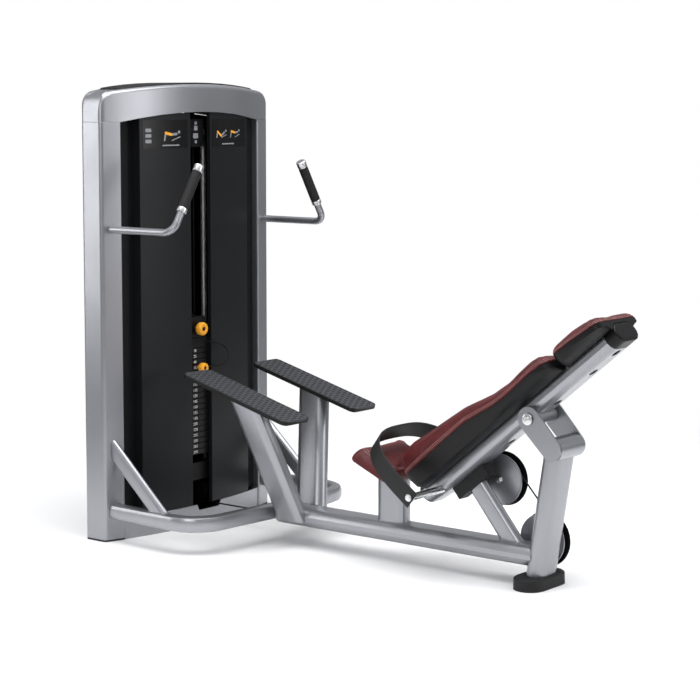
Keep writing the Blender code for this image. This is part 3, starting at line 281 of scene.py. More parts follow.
def surface(name, points, wrap_rows=False, wrap_cols=True, caps=True):
    """Mesh of a (rows, cols, 3) grid; open ends are closed with one face each."""
    rows, cols = points.shape[:2]
    faces = grid_faces(rows, cols, wrap_rows, wrap_cols).tolist()
    if caps and not wrap_rows:
        faces.append(list(range(cols))[::-1])
        faces.append(list(range((rows - 1) * cols, rows * cols)))
    mesh = bpy.data.meshes.new(name)
    mesh.from_pydata(points.reshape(-1, 3).tolist(), [], faces)
    if volume_of(mesh) < 0:
        mesh.flip_normals()
    return mesh


def volume_of(mesh):
    """Signed volume: the sum over fan triangles of a . (b x c) / 6."""
    mesh.calc_loop_triangles()
    co = np.empty(len(mesh.vertices) * 3)
    mesh.vertices.foreach_get("co", co)
    tri = np.empty(len(mesh.loop_triangles) * 3, np.int32)
    mesh.loop_triangles.foreach_get("vertices", tri)
    a, b, c = co.reshape(-1, 3)[tri.reshape(-1, 3)].transpose(1, 0, 2)
    return float((a * np.cross(b, c)).sum() / 6.0)


def join(name, meshes):
    """One mesh from several, added up by index."""
    points, faces, shift = [], [], 0
    for mesh in meshes:
        co = np.empty(len(mesh.vertices) * 3)
        mesh.vertices.foreach_get("co", co)
        points.append(co.reshape(-1, 3))
        faces += [[v + shift for v in poly.vertices] for poly in mesh.polygons]
        shift += len(mesh.vertices)
    whole = bpy.data.meshes.new(name)
    whole.from_pydata(np.concatenate(points).tolist(), [], faces)
    return whole


# %% [markdown]
# ## Outlines and paths
# Most parts of the machine are an outline carried along a path, as a tube or a rod is, or a
# profile turned about an axis, as a knob or a sheave dish is.  Two helpers make them all.

# %% Outlines and paths
def soft_rectangle(a, b, r, steps=6):
    """Rectangle a by b with corner arcs of radius r."""
    t = np.radians(np.linspace(0.0, 90.0, steps + 1))
    arcs = [np.stack([np.cos(t + k * math.pi / 2) * r, np.sin(t + k * math.pi / 2) * r], 1) for k in range(4)]
    centres = [(a / 2 - r, b / 2 - r), (r - a / 2, b / 2 - r), (r - a / 2, r - b / 2), (a / 2 - r, r - b / 2)]
    return np.concatenate([arc + np.array(c) for arc, c in zip(arcs, centres)])


def circle(r, steps=32):
    t = np.linspace(0.0, 2 * math.pi, steps, endpoint=False)
    return np.stack([r * np.cos(t), r * np.sin(t)], 1)


def carried(path, outline, first_axis):
    """Outline carried along a path: first coordinate near first_axis, second square to both."""
    path = np.asarray(path, float)
    tangent = np.gradient(path, axis=0)
    tangent /= np.linalg.norm(tangent, axis=1, keepdims=True)
    u = np.array(first_axis, float) - tangent * (tangent @ np.array(first_axis, float))[:, None]
    u /= np.linalg.norm(u, axis=1, keepdims=True)
    v = np.cross(tangent, u)
    a, b = outline[None, :, 0, None], outline[None, :, 1, None]
    return path[:, None, :] + a * u[:, None, :] + b * v[:, None, :]


def turned(profile, centre, axis, steps=48, wrap=False):
    """Surface of revolution: (radius, height) pairs round an axis through centre."""
    axis = np.array(axis, float) / np.linalg.norm(axis)
    helper = np.array([0.0, 0.0, 1.0]) if abs(axis[2]) < 0.9 else np.array([1.0, 0.0, 0.0])
    e1 = np.cross(axis, helper)
    e1 /= np.linalg.norm(e1)
    e2 = np.cross(axis, e1)
    t = np.linspace(0.0, 2 * math.pi, steps, endpoint=False)
    ring = np.cos(t)[:, None] * e1 + np.sin(t)[:, None] * e2
    profile = np.array(profile, float)
    points = np.array(centre) + profile[:, 0, None, None] * ring + profile[:, 1, None, None] * axis
    return surface("turned", points, wrap_rows=wrap)


# %% [markdown]
# ## Frame nodes taken over
# Joints that are welded from several shapes, such as the head of the rear upright, keep the
# frame's own solid.  Its triangles are merged in a copy, its long edges are rounded with a small
# bevel, as on ground and coated steel, and weighted normals keep the flat faces flat.

# %% Take over a frame node
def taken(node, material, bevel=0.0, smooth=38.0):
    """Merged, smoothed copy of a frame node on the node's own body."""
    mesh = frame["nodes"][node].data.copy()
    work = bmesh.new()
    work.from_mesh(mesh)
    bmesh.ops.remove_doubles(work, verts=work.verts, dist=1e-5)
    bmesh.ops.dissolve_limit(work, angle_limit=math.radians(0.5), verts=work.verts, edges=work.edges)
    work.to_mesh(mesh)
    work.free()
    mesh.name = node
    thing = piece(node + "_skin", mesh, material, NODE_BODY[node], [node], smooth)
    if bevel:
        edge = thing.modifiers.new("ground edges", "BEVEL")
        edge.width, edge.segments, edge.limit_method = bevel, 3, "ANGLE"
        edge.angle_limit = math.radians(smooth)
        edge.use_clamp_overlap = True
        edge.harden_normals = False
    thing.modifiers.new("flat faces stay flat", "WEIGHTED_NORMAL").keep_sharp = True
    return thing


# %% [markdown]
# ## Silver powder coat
# The frame, columns and cap are steel with a silver metallic powder coat: aluminium flake in a
# clear polyester film.  It looks like a soft metal, with a faint orange peel about 1.5 mm across
# and a sparkle finer than half a millimetre.

# %% Silver powder coat
def silver_powder_coat():
    mat, tree, shader = new_material("silver metallic powder coat", "#97989d", 0.80, 0.32, Coat_Weight=0.25,
                                     Coat_Roughness=0.22)
    place = metres(tree)
    flake = add(tree, "ShaderNodeTexNoise", [("Vector", place)], Scale=1500.0, Detail=2.0)
    shade = ramp(tree, flake.outputs["Fac"], "#8f9196", "#a5a6ab")
    tree.links.new(shader.inputs["Base Color"], shade)
    wear = add(tree, "ShaderNodeTexNoise", [("Vector", place)], Scale=6.0, Detail=3.0)
    tree.links.new(shader.inputs["Roughness"], band(tree, wear.outputs["Fac"], 0.27, 0.40))
    peel = add(tree, "ShaderNodeTexNoise", [("Vector", place)], Scale=420.0, Detail=1.0)
    bump(tree, shader, peel.outputs["Fac"], 0.18, 0.0003)
    return mat


# %% [markdown]
# ## Charcoal sheet, black mouldings, rubber
# The shrouds are thin steel sheet with a charcoal fine-texture coat.  Guards, caps and trays are
# moulded ABS, lightly spark-textured.  The boot, grips and planks are matt rubber; the planks' tread
# is painted near black in its hollows as shade.

# %% Coats, mouldings and prints
def speckled(name, base, light, roughness, grain_mm, depth, metallic=0.0, specular=0.22):
    """Coat, print or moulding whose texture repeats about every grain_mm."""
    mat, tree, shader = new_material(name, base, metallic, roughness, Specular_IOR_Level=specular)
    place = metres(tree)
    grain = add(tree, "ShaderNodeTexNoise", [("Vector", place)], Scale=1000.0 / grain_mm, Detail=2.0)
    tree.links.new(shader.inputs["Base Color"], ramp(tree, grain.outputs["Fac"], base, light))
    cloud = add(tree, "ShaderNodeTexNoise", [("Vector", place)], Scale=9.0, Detail=4.0)
    spread = band(tree, cloud.outputs["Fac"], roughness - 0.06, roughness + 0.08)
    tree.links.new(shader.inputs["Roughness"], spread)
    bump(tree, shader, grain.outputs["Fac"], 0.35, depth)
    return mat


SILVER = silver_powder_coat()
CHARCOAL = speckled("charcoal fine-texture coat", "#0f1011", "#191a1c", 0.36, 0.9, 0.0002)
ABS = speckled("spark-textured black ABS", "#0c0c0d", "#131315", 0.36, 0.7, 0.00015)
RUBBER = speckled("moulded black rubber", "#0f0f10", "#18181a", 0.60, 1.2, 0.0002, specular=0.35)
BLACK_STEEL = speckled("black satin steel", "#0a0a0b", "#121214", 0.36, 1.0, 0.0001)
PLATE = speckled("black enamelled plate", "#0d0d0e", "#171718", 0.34, 1.5, 0.0002)
ORANGE = speckled("orange ABS", "#e0981f", "#eca83a", 0.34, 0.8, 0.0001)


# %% [markdown]
# ## Bright metal
# Guide rods are ground steel and the pin is hard chrome; bolts, grip collars and the belt rod are
# nickel-plated.  All are nearly colourless metals, and fine scratches in one direction break the
# highlight up a little.

# %% Bright metal
def bright_metal(name, base, roughness, stretch):
    mat, tree, shader = new_material(name, base, 1.0, roughness)
    place = metres(tree)
    lines = add(tree, "ShaderNodeMapping", [("Vector", place)])
    lines.inputs["Scale"].default_value = stretch
    scratch = add(tree, "ShaderNodeTexNoise", [("Vector", lines.outputs["Vector"])], Scale=900.0, Detail=2.0)
    spread = band(tree, scratch.outputs["Fac"], roughness * 0.7, roughness * 1.6)
    tree.links.new(shader.inputs["Roughness"], spread)
    shine = ramp(tree, scratch.outputs["Fac"], base, "#f0f0f0", (0.2, 0.9))
    tree.links.new(shader.inputs["Base Color"], shine)
    return mat


ROD_STEEL = bright_metal("ground guide rod", "#a9abb0", 0.42, (1.0, 1.0, 0.02))
CHROME = bright_metal("hard chrome", "#d9dadb", 0.14, (1.0, 1.0, 0.02))
NICKEL = bright_metal("satin nickel plate", "#cfcfd0", 0.24, (1.0, 0.05, 1.0))


# %% [markdown]
# ## Burgundy upholstery vinyl
# The pads are foam under vinyl-coated cloth with an embossed leather grain: cells a little over a
# millimetre across, split by fine creases.  The grain is a Voronoi pattern, its cell edges pressed
# in, over softer hollows a few centimetres wide from the foam.

# %% Burgundy vinyl
def burgundy_vinyl():
    mat, tree, shader = new_material("embossed burgundy vinyl", "#48070c", 0.0, 0.42, Specular_IOR_Level=0.35,
                                     Sheen_Weight=0.04, Sheen_Roughness=0.4)
    place = metres(tree)
    cells = add(tree, "ShaderNodeTexVoronoi", [("Vector", place)], feature="DISTANCE_TO_EDGE", Scale=720.0)
    crease = add(tree, "ShaderNodeMapRange", [("Value", cells.outputs["Distance"])], From_Max=0.16)
    soft = add(tree, "ShaderNodeTexNoise", [("Vector", place)], Scale=38.0, Detail=4.0)
    tree.links.new(shader.inputs["Base Color"], ramp(tree, soft.outputs["Fac"], "#420609", "#5a0b10"))
    tree.links.new(shader.inputs["Roughness"], band(tree, soft.outputs["Fac"], 0.36, 0.52))
    first = bump(tree, shader, crease.outputs["Result"], 0.55, 0.0003)
    bump(tree, shader, soft.outputs["Fac"], 0.35, 0.002, first)
    return mat


VINYL = burgundy_vinyl()
THREAD = speckled("bonded polyester thread", "#b48a86", "#c79e99", 0.55, 0.5, 0.0001)
print("materials:", len(bpy.data.materials))

# %% [markdown]
# ## Tower: columns, cap and shrouds
# The columns and the arched cap are large plain forms, and the frame's solids already have their
# rounded corners, so they are taken over with a small edge radius.  A hairline joint stays
# between each column and the cap, as on the real castings.

# %% Tower pieces
for node in ("column_left", "column_right", "top_cap", "base_pan"):
    taken(node, SILVER, bevel=0.0015)
for node in ("front_shroud_left", "front_shroud_right", "rear_shroud"):
    taken(node, CHARCOAL, bevel=0.0008)
for node in ("column_pad_left", "column_pad_right"):
    taken(node, RUBBER, bevel=0.001)
taken("top_cover", ABS, bevel=0.003)
for node in ("top_crossbar", "stack_cradle", "head_housing"):
    taken(node, BLACK_STEEL, bevel=0.001)
for node in ("guide_rod_left", "guide_rod_right", "selector_stem"):
    taken(node, ROD_STEEL, smooth=50.0)
for node in ("top_pulley", "foot_pulley", "head_pulley", "base_sheave", "arm_sheave"):
    taken(node, ABS, bevel=0.0008)

# %% [markdown]
# ## Frame tubes
# The frame is flat-oval steel tube, cut, coped and welded.  Each tube is taken over from the
# frame and coated silver; small bevels stand for the dressed weld edges.

# %% Frame tubes
for node in ("bow_tube", "base_tube", "brace_left", "brace_right", "handle_left", "handle_right", "seat_post",
             "rear_upright", "rear_strut", "plank_strut_left", "plank_strut_right"):
    taken(node, SILVER, bevel=0.0012)
for node in ("rear_boot", "stop_bumper"):
    taken(node, RUBBER, bevel=0.0015)
for node in ("beam_cap", "beam_plug", "back_shell", "head_shell"):
    taken(node, ABS, bevel=0.0012)
for node in ("pivot_shaft", "belt_rod"):
    taken(node, NICKEL, bevel=0.0006)
taken("cable_frame_run", ABS, smooth=60.0)

# %% [markdown]
# ## Weld beads
# Where a tube end meets another tube it is welded all round, and the coat follows the bead.  A
# bead is a thin ring, 5 mm across, whose radius ripples every 4 mm as the weld pool froze.

# %% Weld beads
def bead(name, ring, body, radius=0.0026, ripple=0.004):
    """Closed tube along a ring of points; its radius swells by 12% once per ripple length."""
    ring = np.asarray(ring, float)
    closed = np.concatenate([ring, ring[:1]])
    step = np.linalg.norm(np.diff(closed, axis=0), axis=1)
    run = np.concatenate([[0.0], np.cumsum(step)])
    count = max(int(run[-1] / 0.0013), 24)
    at = np.linspace(0.0, run[-1], count, endpoint=False)
    path = np.stack([np.interp(at, run, closed[:, k]) for k in range(3)], 1)
    tangent = np.roll(path, -1, 0) - np.roll(path, 1, 0)
    tangent /= np.linalg.norm(tangent, axis=1, keepdims=True)
    helper = path.mean(0) - path
    u = helper - tangent * (helper * tangent).sum(1, keepdims=True)
    u /= np.linalg.norm(u, axis=1, keepdims=True)
    v = np.cross(tangent, u)
    t = np.linspace(0.0, 2 * math.pi, 8, endpoint=False)
    swell = radius * (1.0 + 0.12 * np.sin(at / ripple * 2 * math.pi))
    ring = np.cos(t)[:, None] * u[:, None] + np.sin(t)[:, None] * v[:, None]
    points = path[:, None] + swell[:, None, None] * ring
    return piece(name, surface(name, points, wrap_rows=True), SILVER, body)


def rim_of(node, keep, body, name):
    """Bead along the end outline of a frame tube: its vertices kept by a rule, in ring order."""
    co = np.array([v.co for v in frame["nodes"][node].data.vertices])
    spots = np.unique(co[keep(co)].round(5), axis=0)
    middle = spots.mean(0)
    flat = spots - middle
    _, _, axes = np.linalg.svd(flat, full_matrices=False)
    angle = np.arctan2(flat @ axes[1], flat @ axes[0])
    return bead(name, spots[np.argsort(angle)], body)


for node in ("seat_post", "rear_strut"):
    foot = box_of(node)[0][2]
    rim_of(node, lambda co, z=foot: co[:, 2] < z + 0.001, "frame", node + "_foot_weld")
for side in ("left", "right"):
    top = box_of("brace_" + side)[0][2]
    rim_of("brace_" + side, lambda co, z=top: co[:, 2] < z + 0.001, "frame", "brace_weld_" + side)

# %% [markdown]
# ## Bench beam and its access holes
# The beam is the same flat-oval tube with round holes along its underside, through which the pad
# bolts are reached.  They are cut into the copy with a Boolean, which is then applied, and each
# has a dark disc inside so that the tube reads as hollow.

# %% Bench beam
def cut(thing, tools):
    """Subtracts closed meshes from a piece and keeps the result as its mesh."""
    made = []
    for k, mesh in enumerate(tools):
        tool = bpy.data.objects.new("tool_%d" % k, mesh)
        bpy.context.scene.collection.objects.link(tool)
        step = thing.modifiers.new("cut_%d" % k, "BOOLEAN")
        step.operation, step.solver, step.object = "DIFFERENCE", "EXACT", tool
        while thing.modifiers[0] != step:
            bpy.context.view_layer.objects.active = thing
            thing.modifiers.move(len(thing.modifiers) - 1, 0)
        made.append((step, tool))
    for other in thing.modifiers:
        other.show_viewport = other.type == "BOOLEAN"
    bpy.context.view_layer.update()
    solved = bpy.data.meshes.new_from_object(thing.evaluated_get(bpy.context.evaluated_depsgraph_get()))
    for step, tool in made:
        thing.modifiers.remove(step)
        bpy.data.objects.remove(tool, do_unlink=True)
    for other in thing.modifiers:
        other.show_viewport = True
    thing.data = solved
    solved.polygons.foreach_set("use_smooth", np.ones(len(solved.polygons), bool))
    solved.set_sharp_from_angle(angle=math.radians(38.0))


HOLE_STATIONS = (0.385, 0.270, 0.085, -0.160)
HOLE_RADIUS = 0.017
HOLE_DEPTH = 0.012
BEAM_UNDER = -0.002
beam = taken("bench_beam", SILVER, bevel=0.0012)
drills = []
for s in HOLE_STATIONS:
    profile = [(HOLE_RADIUS, -0.02), (HOLE_RADIUS, HOLE_DEPTH)]
    drills.append(turned(profile, bench(np.array(s), np.array(0.0), np.array(BEAM_UNDER)), OUT, 40))
cut(beam, drills)
discs = [turned([(0.002, 0.0), (HOLE_RADIUS - 0.001, 0.0), (HOLE_RADIUS - 0.001, 0.0006), (0.002, 0.0006)],
                bench(np.array(s), np.array(0.0), np.array(BEAM_UNDER + HOLE_DEPTH - 0.001)), OUT, 32)
         for s in HOLE_STATIONS]
piece("beam_hole_shadows", join("beam_hole_shadows", discs), BLACK_STEEL, "bench")

# %% [markdown]
# ## Foot planks
# Each plank is a steel plate under a moulded rubber tread, dimpled with round hollows 16 mm across
# on a staggered grid.  The hollows are real geometry: the top is a grid whose height drops by a
# smooth step inside each circle, so they catch light and shadow from every side.  Their colour is also painted
# near black as shade.

# %% Foot planks
PLANK_LONG, PLANK_WIDE, PLANK_THICK = 0.529, 0.152, 0.016
PLANK_TILT = math.radians(15.0)
PLANK_CORNER = 0.022
DIMPLE = 0.0080          # radius of a hollow
DIMPLE_PITCH = (0.0245, 0.0213)
DIMPLE_DEPTH = 0.0024


def half_width(x, half_long, half_wide, r):
    """Half width of a rounded rectangle at x: the straight edge, or the corner arc near an end."""
    inside = np.clip(r - (half_long - np.abs(x)), 0.0, r)
    return half_wide - r + np.sqrt(r * r - inside * inside)


def dimples(x, y):
    """1 in a hollow, 0 between: distance to the nearer of two staggered grids of centres."""
    px, py = DIMPLE_PITCH
    best = np.full(np.shape(x), 1.0)
    for ox, oy in ((0.0, 0.0), (0.5, 0.5)):
        dx = (x / px - ox - np.round(x / px - ox)) * px
        dy = (y / (2 * py) - oy - np.round(y / (2 * py) - oy)) * 2 * py
        best = np.minimum(best, np.hypot(dx, dy))
    t = np.clip((DIMPLE + 0.0009 - best) / 0.0018, 0.0, 1.0)
    room = np.minimum(PLANK_LONG / 2 - np.abs(x), PLANK_WIDE / 2 - np.abs(y))
    return t * t * (3 - 2 * t) * (room > DIMPLE * 0.8)


def tread_rubber():
    """Grey-bloomed rubber with random grime in its tone; the hollows are painted near black as shade, and the
    sides and underside take the same near black.
    """
    mat, tree, shader = new_material("moulded tread rubber", "#26272a", 0.0, 0.62, Specular_IOR_Level=0.35)
    # Painted shade: the mask read here is 1 in the dimples' hollows and turns the rubber near black there.
    hollow_shade = add(tree, "ShaderNodeAttribute", attribute_name="hollow_shade").outputs["Fac"]
    grime = add(tree, "ShaderNodeTexNoise", [("Vector", metres(tree))], Scale=160.0, Detail=4.0)
    shade = add(tree, "ShaderNodeMapRange", [("Value", grime.outputs["Fac"])], To_Min=-0.12, To_Max=0.12)
    total = add(tree, "ShaderNodeMath", [(0, hollow_shade), (1, shade.outputs["Result"])], operation="ADD")
    tree.links.new(shader.inputs["Base Color"], ramp(tree, total.outputs["Value"], "#3b3d42", "#040404"))
    bump(tree, shader, grime.outputs["Fac"], 0.25, 0.0002)
    return mat


TREAD = tread_rubber()


def foot_plank(name):
    """Plank: stations along it, each a closed section of dimpled top, round edges and flat bottom."""
    low, high = box_of("foot_plank_" + name)
    down = np.array([math.cos(PLANK_TILT), 0.0, -math.sin(PLANK_TILT)])
    up = np.array([math.sin(PLANK_TILT), 0.0, math.cos(PLANK_TILT)])
    middle = (low + high) / 2 + up * PLANK_THICK / 2
    edge = 0.0025
    x = np.concatenate([[-1, -0.9985, -0.996, -0.992, -0.985], np.linspace(-0.975, 0.975, 330),
                        [0.985, 0.992, 0.996, 0.9985, 1]]) * PLANK_LONG / 2
    w = half_width(x, PLANK_LONG / 2, PLANK_WIDE / 2, PLANK_CORNER)
    across = np.linspace(-1.0, 1.0, 96)
    y_top = across[None, :] * (w - edge)[:, None]
    z_top = -DIMPLE_DEPTH * dimples(x[:, None], y_top)
    t = np.radians(np.linspace(15.0, 90.0, 5))
    right = np.stack([np.sin(t) * edge - edge, np.cos(t) * edge - edge], 1)
    rows = len(x)
    section_y = [y_top, w[:, None] + right[None, :, 0], w[:, None] - np.array([[0.0, edge]]),
                 -w[:, None] + np.array([[edge, 0.0]]), -(w[:, None] + right[None, ::-1, 0])]
    flat = np.ones((rows, 1))
    section_z = [z_top, flat * right[None, :, 1], flat * np.array([[edge - PLANK_THICK, -PLANK_THICK]]),
                 flat * np.array([[-PLANK_THICK, edge - PLANK_THICK]]), flat * right[None, ::-1, 1]]
    y, z = np.concatenate(section_y, 1), np.concatenate(section_z, 1)
    ends = np.clip((np.abs(x) - (PLANK_LONG / 2 - edge)) / edge, 0.0, 1.0)[:, None]
    z = np.where(z > -PLANK_THICK / 2, z - edge * (1 - np.sqrt(1 - ends ** 2)), z)
    points = middle + x[:, None, None] * down + y[..., None] * ACROSS + z[..., None] * up
    mesh = surface("foot_plank_" + name, points)
    # Painted shade mask: 1 deep in the hollows, 0 on the lands, and 0.9 on the sides and underside.
    hollow_shade = np.full(points.shape[:2], 0.9)
    hollow_shade[:, :len(across)] = -z_top / DIMPLE_DEPTH
    mesh.attributes.new("hollow_shade", "FLOAT", "POINT").data.foreach_set("value", hollow_shade.ravel())
    piece("foot_tread_" + name, mesh, TREAD, "frame", ["foot_plank_" + name], 50.0)
    print("plank", name, len(mesh.polygons), "faces")


foot_plank("right")
foot_plank("left")

# %% [markdown]
# ## Handles: grips, collars and end caps
# Each handle carries a ribbed rubber grip between a nickel-plated collar and an end cap to match.
# All three are surfaces of revolution about the handle's raised end.

# %% Grips
X0 = PIVOT[0] - 1.664                  # front corners of the tower
HANDLE_CORNER = np.array([X0 + 0.335, 0.4366, 1.196])
GRIP_START, GRIP_LONG, GRIP_RADIUS, TUBE_RADIUS = 0.105, 0.152, 0.019, 0.014
HANDLE_END = 0.285


def rounded_sleeve(r_in, r_out, start, stop, soft):
    """Profile of a sleeve whose outer edges are rounded by soft."""
    t = np.radians(np.linspace(0.0, 90.0, 6))
    first = np.stack([r_out - soft + soft * np.sin(t), start + soft - soft * np.cos(t)], 1)
    last = np.stack([r_out - soft + soft * np.cos(t), stop - soft + soft * np.sin(t)], 1)
    return np.concatenate([[(r_in, start)], first, last, [(r_in, stop)]])


def grip(side, name):
    corner = HANDLE_CORNER * (1, side, 1)
    lean = np.array([0.0, -side * 0.512, 0.859])
    lean /= np.linalg.norm(lean)
    h = np.linspace(0.004, GRIP_LONG - 0.004, 220)
    ribs = GRIP_RADIUS - 0.0005 * (0.5 + 0.5 * np.cos(2 * math.pi * h / 0.004))
    bore, edge, shoulder = TUBE_RADIUS + 0.0002, GRIP_RADIUS - 0.002, GRIP_RADIUS - 0.0006
    low_end = [(bore, 0.0), (edge, 0.0), (shoulder, 0.0012)]
    high_end = [(shoulder, GRIP_LONG - 0.0012), (edge, GRIP_LONG), (bore, GRIP_LONG)]
    body = np.concatenate([low_end, np.stack([ribs, h], 1), high_end])
    body[:, 1] += GRIP_START
    rubber = turned(body, corner, lean, 40, wrap=True)
    piece("grip_rubber_" + name, rubber, RUBBER, "frame", ["grip_" + name], 60.0)
    collar = rounded_sleeve(TUBE_RADIUS + 0.0001, 0.0192, GRIP_START - 0.019, GRIP_START - 0.0002, 0.0025)
    cap_low = GRIP_START + GRIP_LONG + 0.0002
    cap = rounded_sleeve(0.004, 0.0192, cap_low, HANDLE_END - 0.0004, 0.004)
    fittings = [turned(collar, corner, lean, 40, wrap=True), turned(cap, corner, lean, 40)]
    bright = join("grip_fittings", fittings)
    piece("grip_fittings_" + name, bright, NICKEL, "frame", (), 45.0)


grip(-1, "right")
grip(1, "left")

# %% [markdown]
# ## Sheave guards
# Each large sheave runs between a pressed steel dish, silver with a rolled rim, and a plain
# black disc.  The dish is a surface of revolution; a nickel bolt holds it.

# %% Sheave guards
ARM_SHEAVE_AT = (-0.329, 0.0, -0.062)      # on the bench: s, y, n


def sheave_guards(node, body):
    low, high = box_of(node)
    centre = np.array([(low[0] + high[0]) / 2, 0.0, (low[2] + high[2]) / 2])
    if body == "bench":
        centre = bench(*np.array(ARM_SHEAVE_AT))
    r = np.linspace(0.010, 0.088, 24)
    dish = 0.0675 - 0.0010 * np.sin((r - 0.010) / 0.078 * math.pi)
    rim = [(0.0905, 0.0668), (0.0920, 0.0678), (0.0920, 0.0700), (0.0905, 0.0706), (0.088, 0.0700)]
    back = np.stack([r[::-1], dish[::-1] + 0.0022], 1)
    profile = np.concatenate([np.stack([r, dish], 1), rim, back])
    plate_dish = turned(profile, centre, ACROSS, 72, wrap=True)
    piece(node + "_dish", plate_dish, SILVER, body, [node], 40.0)
    disc = rounded_sleeve(0.006, 0.098, 0.0965, 0.0995, 0.0014)
    piece(node + "_disc", turned(disc, centre, ACROSS, 72, wrap=True), ABS, body, (), 40.0)
    bolt = [(0.004, 0.0545), (0.0085, 0.0548), (0.0100, 0.0560), (0.0100, 0.0615), (0.0135, 0.0617),
            (0.0135, 0.0640), (0.0062, 0.0641), (0.0062, 0.0965)]
    piece(node + "_bolt", turned(bolt, centre, ACROSS, 36), NICKEL, body, (), 35.0)


sheave_guards("base_sheave_guard", "frame")
sheave_guards("arm_sheave_guard", "bench")

# %% [markdown]
# ## Weight stack
# The plates are black-enamelled steel bars with small chamfers, so the stack reads as a column of
# dark edges with hairline gaps.  Each carries a printed number on its front face.  The numbers
# are thin meshes made from text, in steps of 15 as on a usual stack.

# %% Plates
PLATE_DEEP, PLATE_WIDE, PLATE_PITCH, PLATE_THICK = 0.110, 0.260, 0.0225, 0.0213
STACK_LOW = box_of("resting_plates")[0]
LIFTED_LOW = box_of("lifted_plates")[0]
STACK_X = (STACK_LOW[0] + box_of("resting_plates")[1][0]) / 2


def plate(z):
    """Bar with a 0.8 mm chamfer all round: four outlines stacked up."""
    rings = []
    for height, inset in ((0.0, 0.0012), (0.0008, 0.0), (PLATE_THICK - 0.0008, 0.0), (PLATE_THICK, 0.0012)):
        out = soft_rectangle(PLATE_DEEP - 2 * inset, PLATE_WIDE - 2 * inset, 0.003, 3)
        rings.append(np.column_stack([STACK_X + out[:, 0], out[:, 1], np.full(len(out), z + height)]))
    return surface("plate", np.array(rings))


def number(text, centre, size, depth=0.0003):
    """Text as a thin solid on the front face, upright and reading from +X."""
    data = bpy.data.curves.new("digits", "FONT")
    data.body, data.size, data.extrude, data.resolution_u = text, size, depth, 2
    data.align_x, data.align_y = "CENTER", "CENTER"
    carrier = bpy.data.objects.new("digits", data)
    bpy.context.scene.collection.objects.link(carrier)
    bpy.context.view_layer.update()
    mesh = bpy.data.meshes.new_from_object(carrier.evaluated_get(bpy.context.evaluated_depsgraph_get()))
    bpy.data.objects.remove(carrier, do_unlink=True)
    co = np.empty(len(mesh.vertices) * 3)
    mesh.vertices.foreach_get("co", co)
    co = co.reshape(-1, 3)
    placed = np.column_stack([co[:, 2], co[:, 0], co[:, 1]]) + np.array(centre)
    mesh.vertices.foreach_set("co", placed.ravel())
    return mesh


PRINT = speckled("pale grey screen print", "#c9cacb", "#d8d9da", 0.5, 0.6, 0.00005)
front = STACK_X + PLATE_DEEP / 2
RESTING, LIFTED = 15, 4             # plates under and over the pin
LABEL_STEP, LABEL_SIZE = 15, 0.0165
resting = [plate(STACK_LOW[2] + k * PLATE_PITCH) for k in range(RESTING)]
lifted = [plate(LIFTED_LOW[2] + k * PLATE_PITCH) for k in range(LIFTED)]
for name, plates, body, node in (("plates_resting", resting, "frame", "resting_plates"),
                                 ("plates_lifted", lifted, "stack", "lifted_plates")):
    piece(name, join(name, plates), PLATE, body, [node], 30.0)
taken("head_plate", PLATE, bevel=0.0012)
LABEL_Y = -0.018
for body, base, first, count in (("frame", STACK_LOW[2], 280, RESTING), ("stack", LIFTED_LOW[2], 55, LIFTED)):
    name = "plate_numbers_" + body
    heights = [base + (k + 0.5) * PLATE_PITCH - 0.0006 for k in range(count)]
    digits = [number(str(first - LABEL_STEP * k), (front + 0.0003, LABEL_Y, heights[k]), LABEL_SIZE)
              for k in range(count)]
    piece(name, join(name, digits), PRINT, body, (), 30.0)

# %% [markdown]
# ## Knobs and lanyard
# The selector pin and the increment dial have turned orange knobs with a fluted grip.  A thin
# coiled lanyard ties the pin to the head of the stack, so that it can't be lost.

# %% Knobs
def fluted(profile, centre, flutes, depth, steps=96):
    """Profile revolved about X, its outer stretch pressed in by a cosine of the angle."""
    t = np.linspace(0.0, 2 * math.pi, steps, endpoint=False)
    profile = np.array(profile, float)
    outer = np.clip((profile[:, 0] / profile[:, 0].max() - 0.80) / 0.2, 0.0, 1.0)
    r = profile[:, 0, None] - depth * outer[:, None] * (0.5 + 0.5 * np.cos(flutes * t))[None, :]
    points = np.stack([np.broadcast_to(profile[:, 1, None], r.shape), r * np.cos(t), r * np.sin(t)], -1)
    return surface("knob", points + np.array(centre))


def knob_profile(r, start, long, neck):
    """Neck, domed grip and a shallow hollow in its face."""
    shares = [(0.82, 0.30), (0.96, 0.40), (1.0, 0.50), (1.0, 0.78), (0.96, 0.88), (0.86, 0.96), (0.70, 1.0),
              (0.45, 0.98), (0.40, 0.93), (0.02, 0.93)]
    stem = [(neck, start), (neck, start + 0.18 * long)]
    return stem + [(a * r, start + b * long) for a, b in shares]


pin_at = np.array(JOINTS["selector_pin_pull"]["pos_m"])
dial_at = np.array(JOINTS["increment_dial"]["pos_m"])
half_plate = PLATE_DEEP / 2
pin_knob = fluted(knob_profile(0.0205, half_plate + 0.004, 0.037, 0.010), pin_at, 12, 0.0012)
piece("pin_knob", pin_knob, ORANGE, "pin", ["selector_pin"], 40.0)
pin_rod = turned([(0.0030, -0.006), (0.0048, -0.004), (0.0048, half_plate + 0.0045)], pin_at, (1, 0, 0), 28)
piece("pin_rod", pin_rod, CHROME, "pin", (), 40.0)
dial = fluted(knob_profile(0.0265, 0.0008, 0.037, 0.012), dial_at, 16, 0.0014)
piece("dial_knob", dial, ORANGE, "dial", ["increment_knob"], 40.0)
for name, at, start, r, body in (("pin_badge", pin_at, half_plate + 0.0385, 0.0078, "pin"),
                                 ("dial_badge", dial_at, 0.0353, 0.0100, "dial")):
    profile = [(0.0005, start), (0.8 * r, start), (r, start - 0.0006), (r, start - 0.002)]
    badge = turned(profile, at, (1, 0, 0), 28)
    piece(name, badge, ABS, body, (), 40.0)


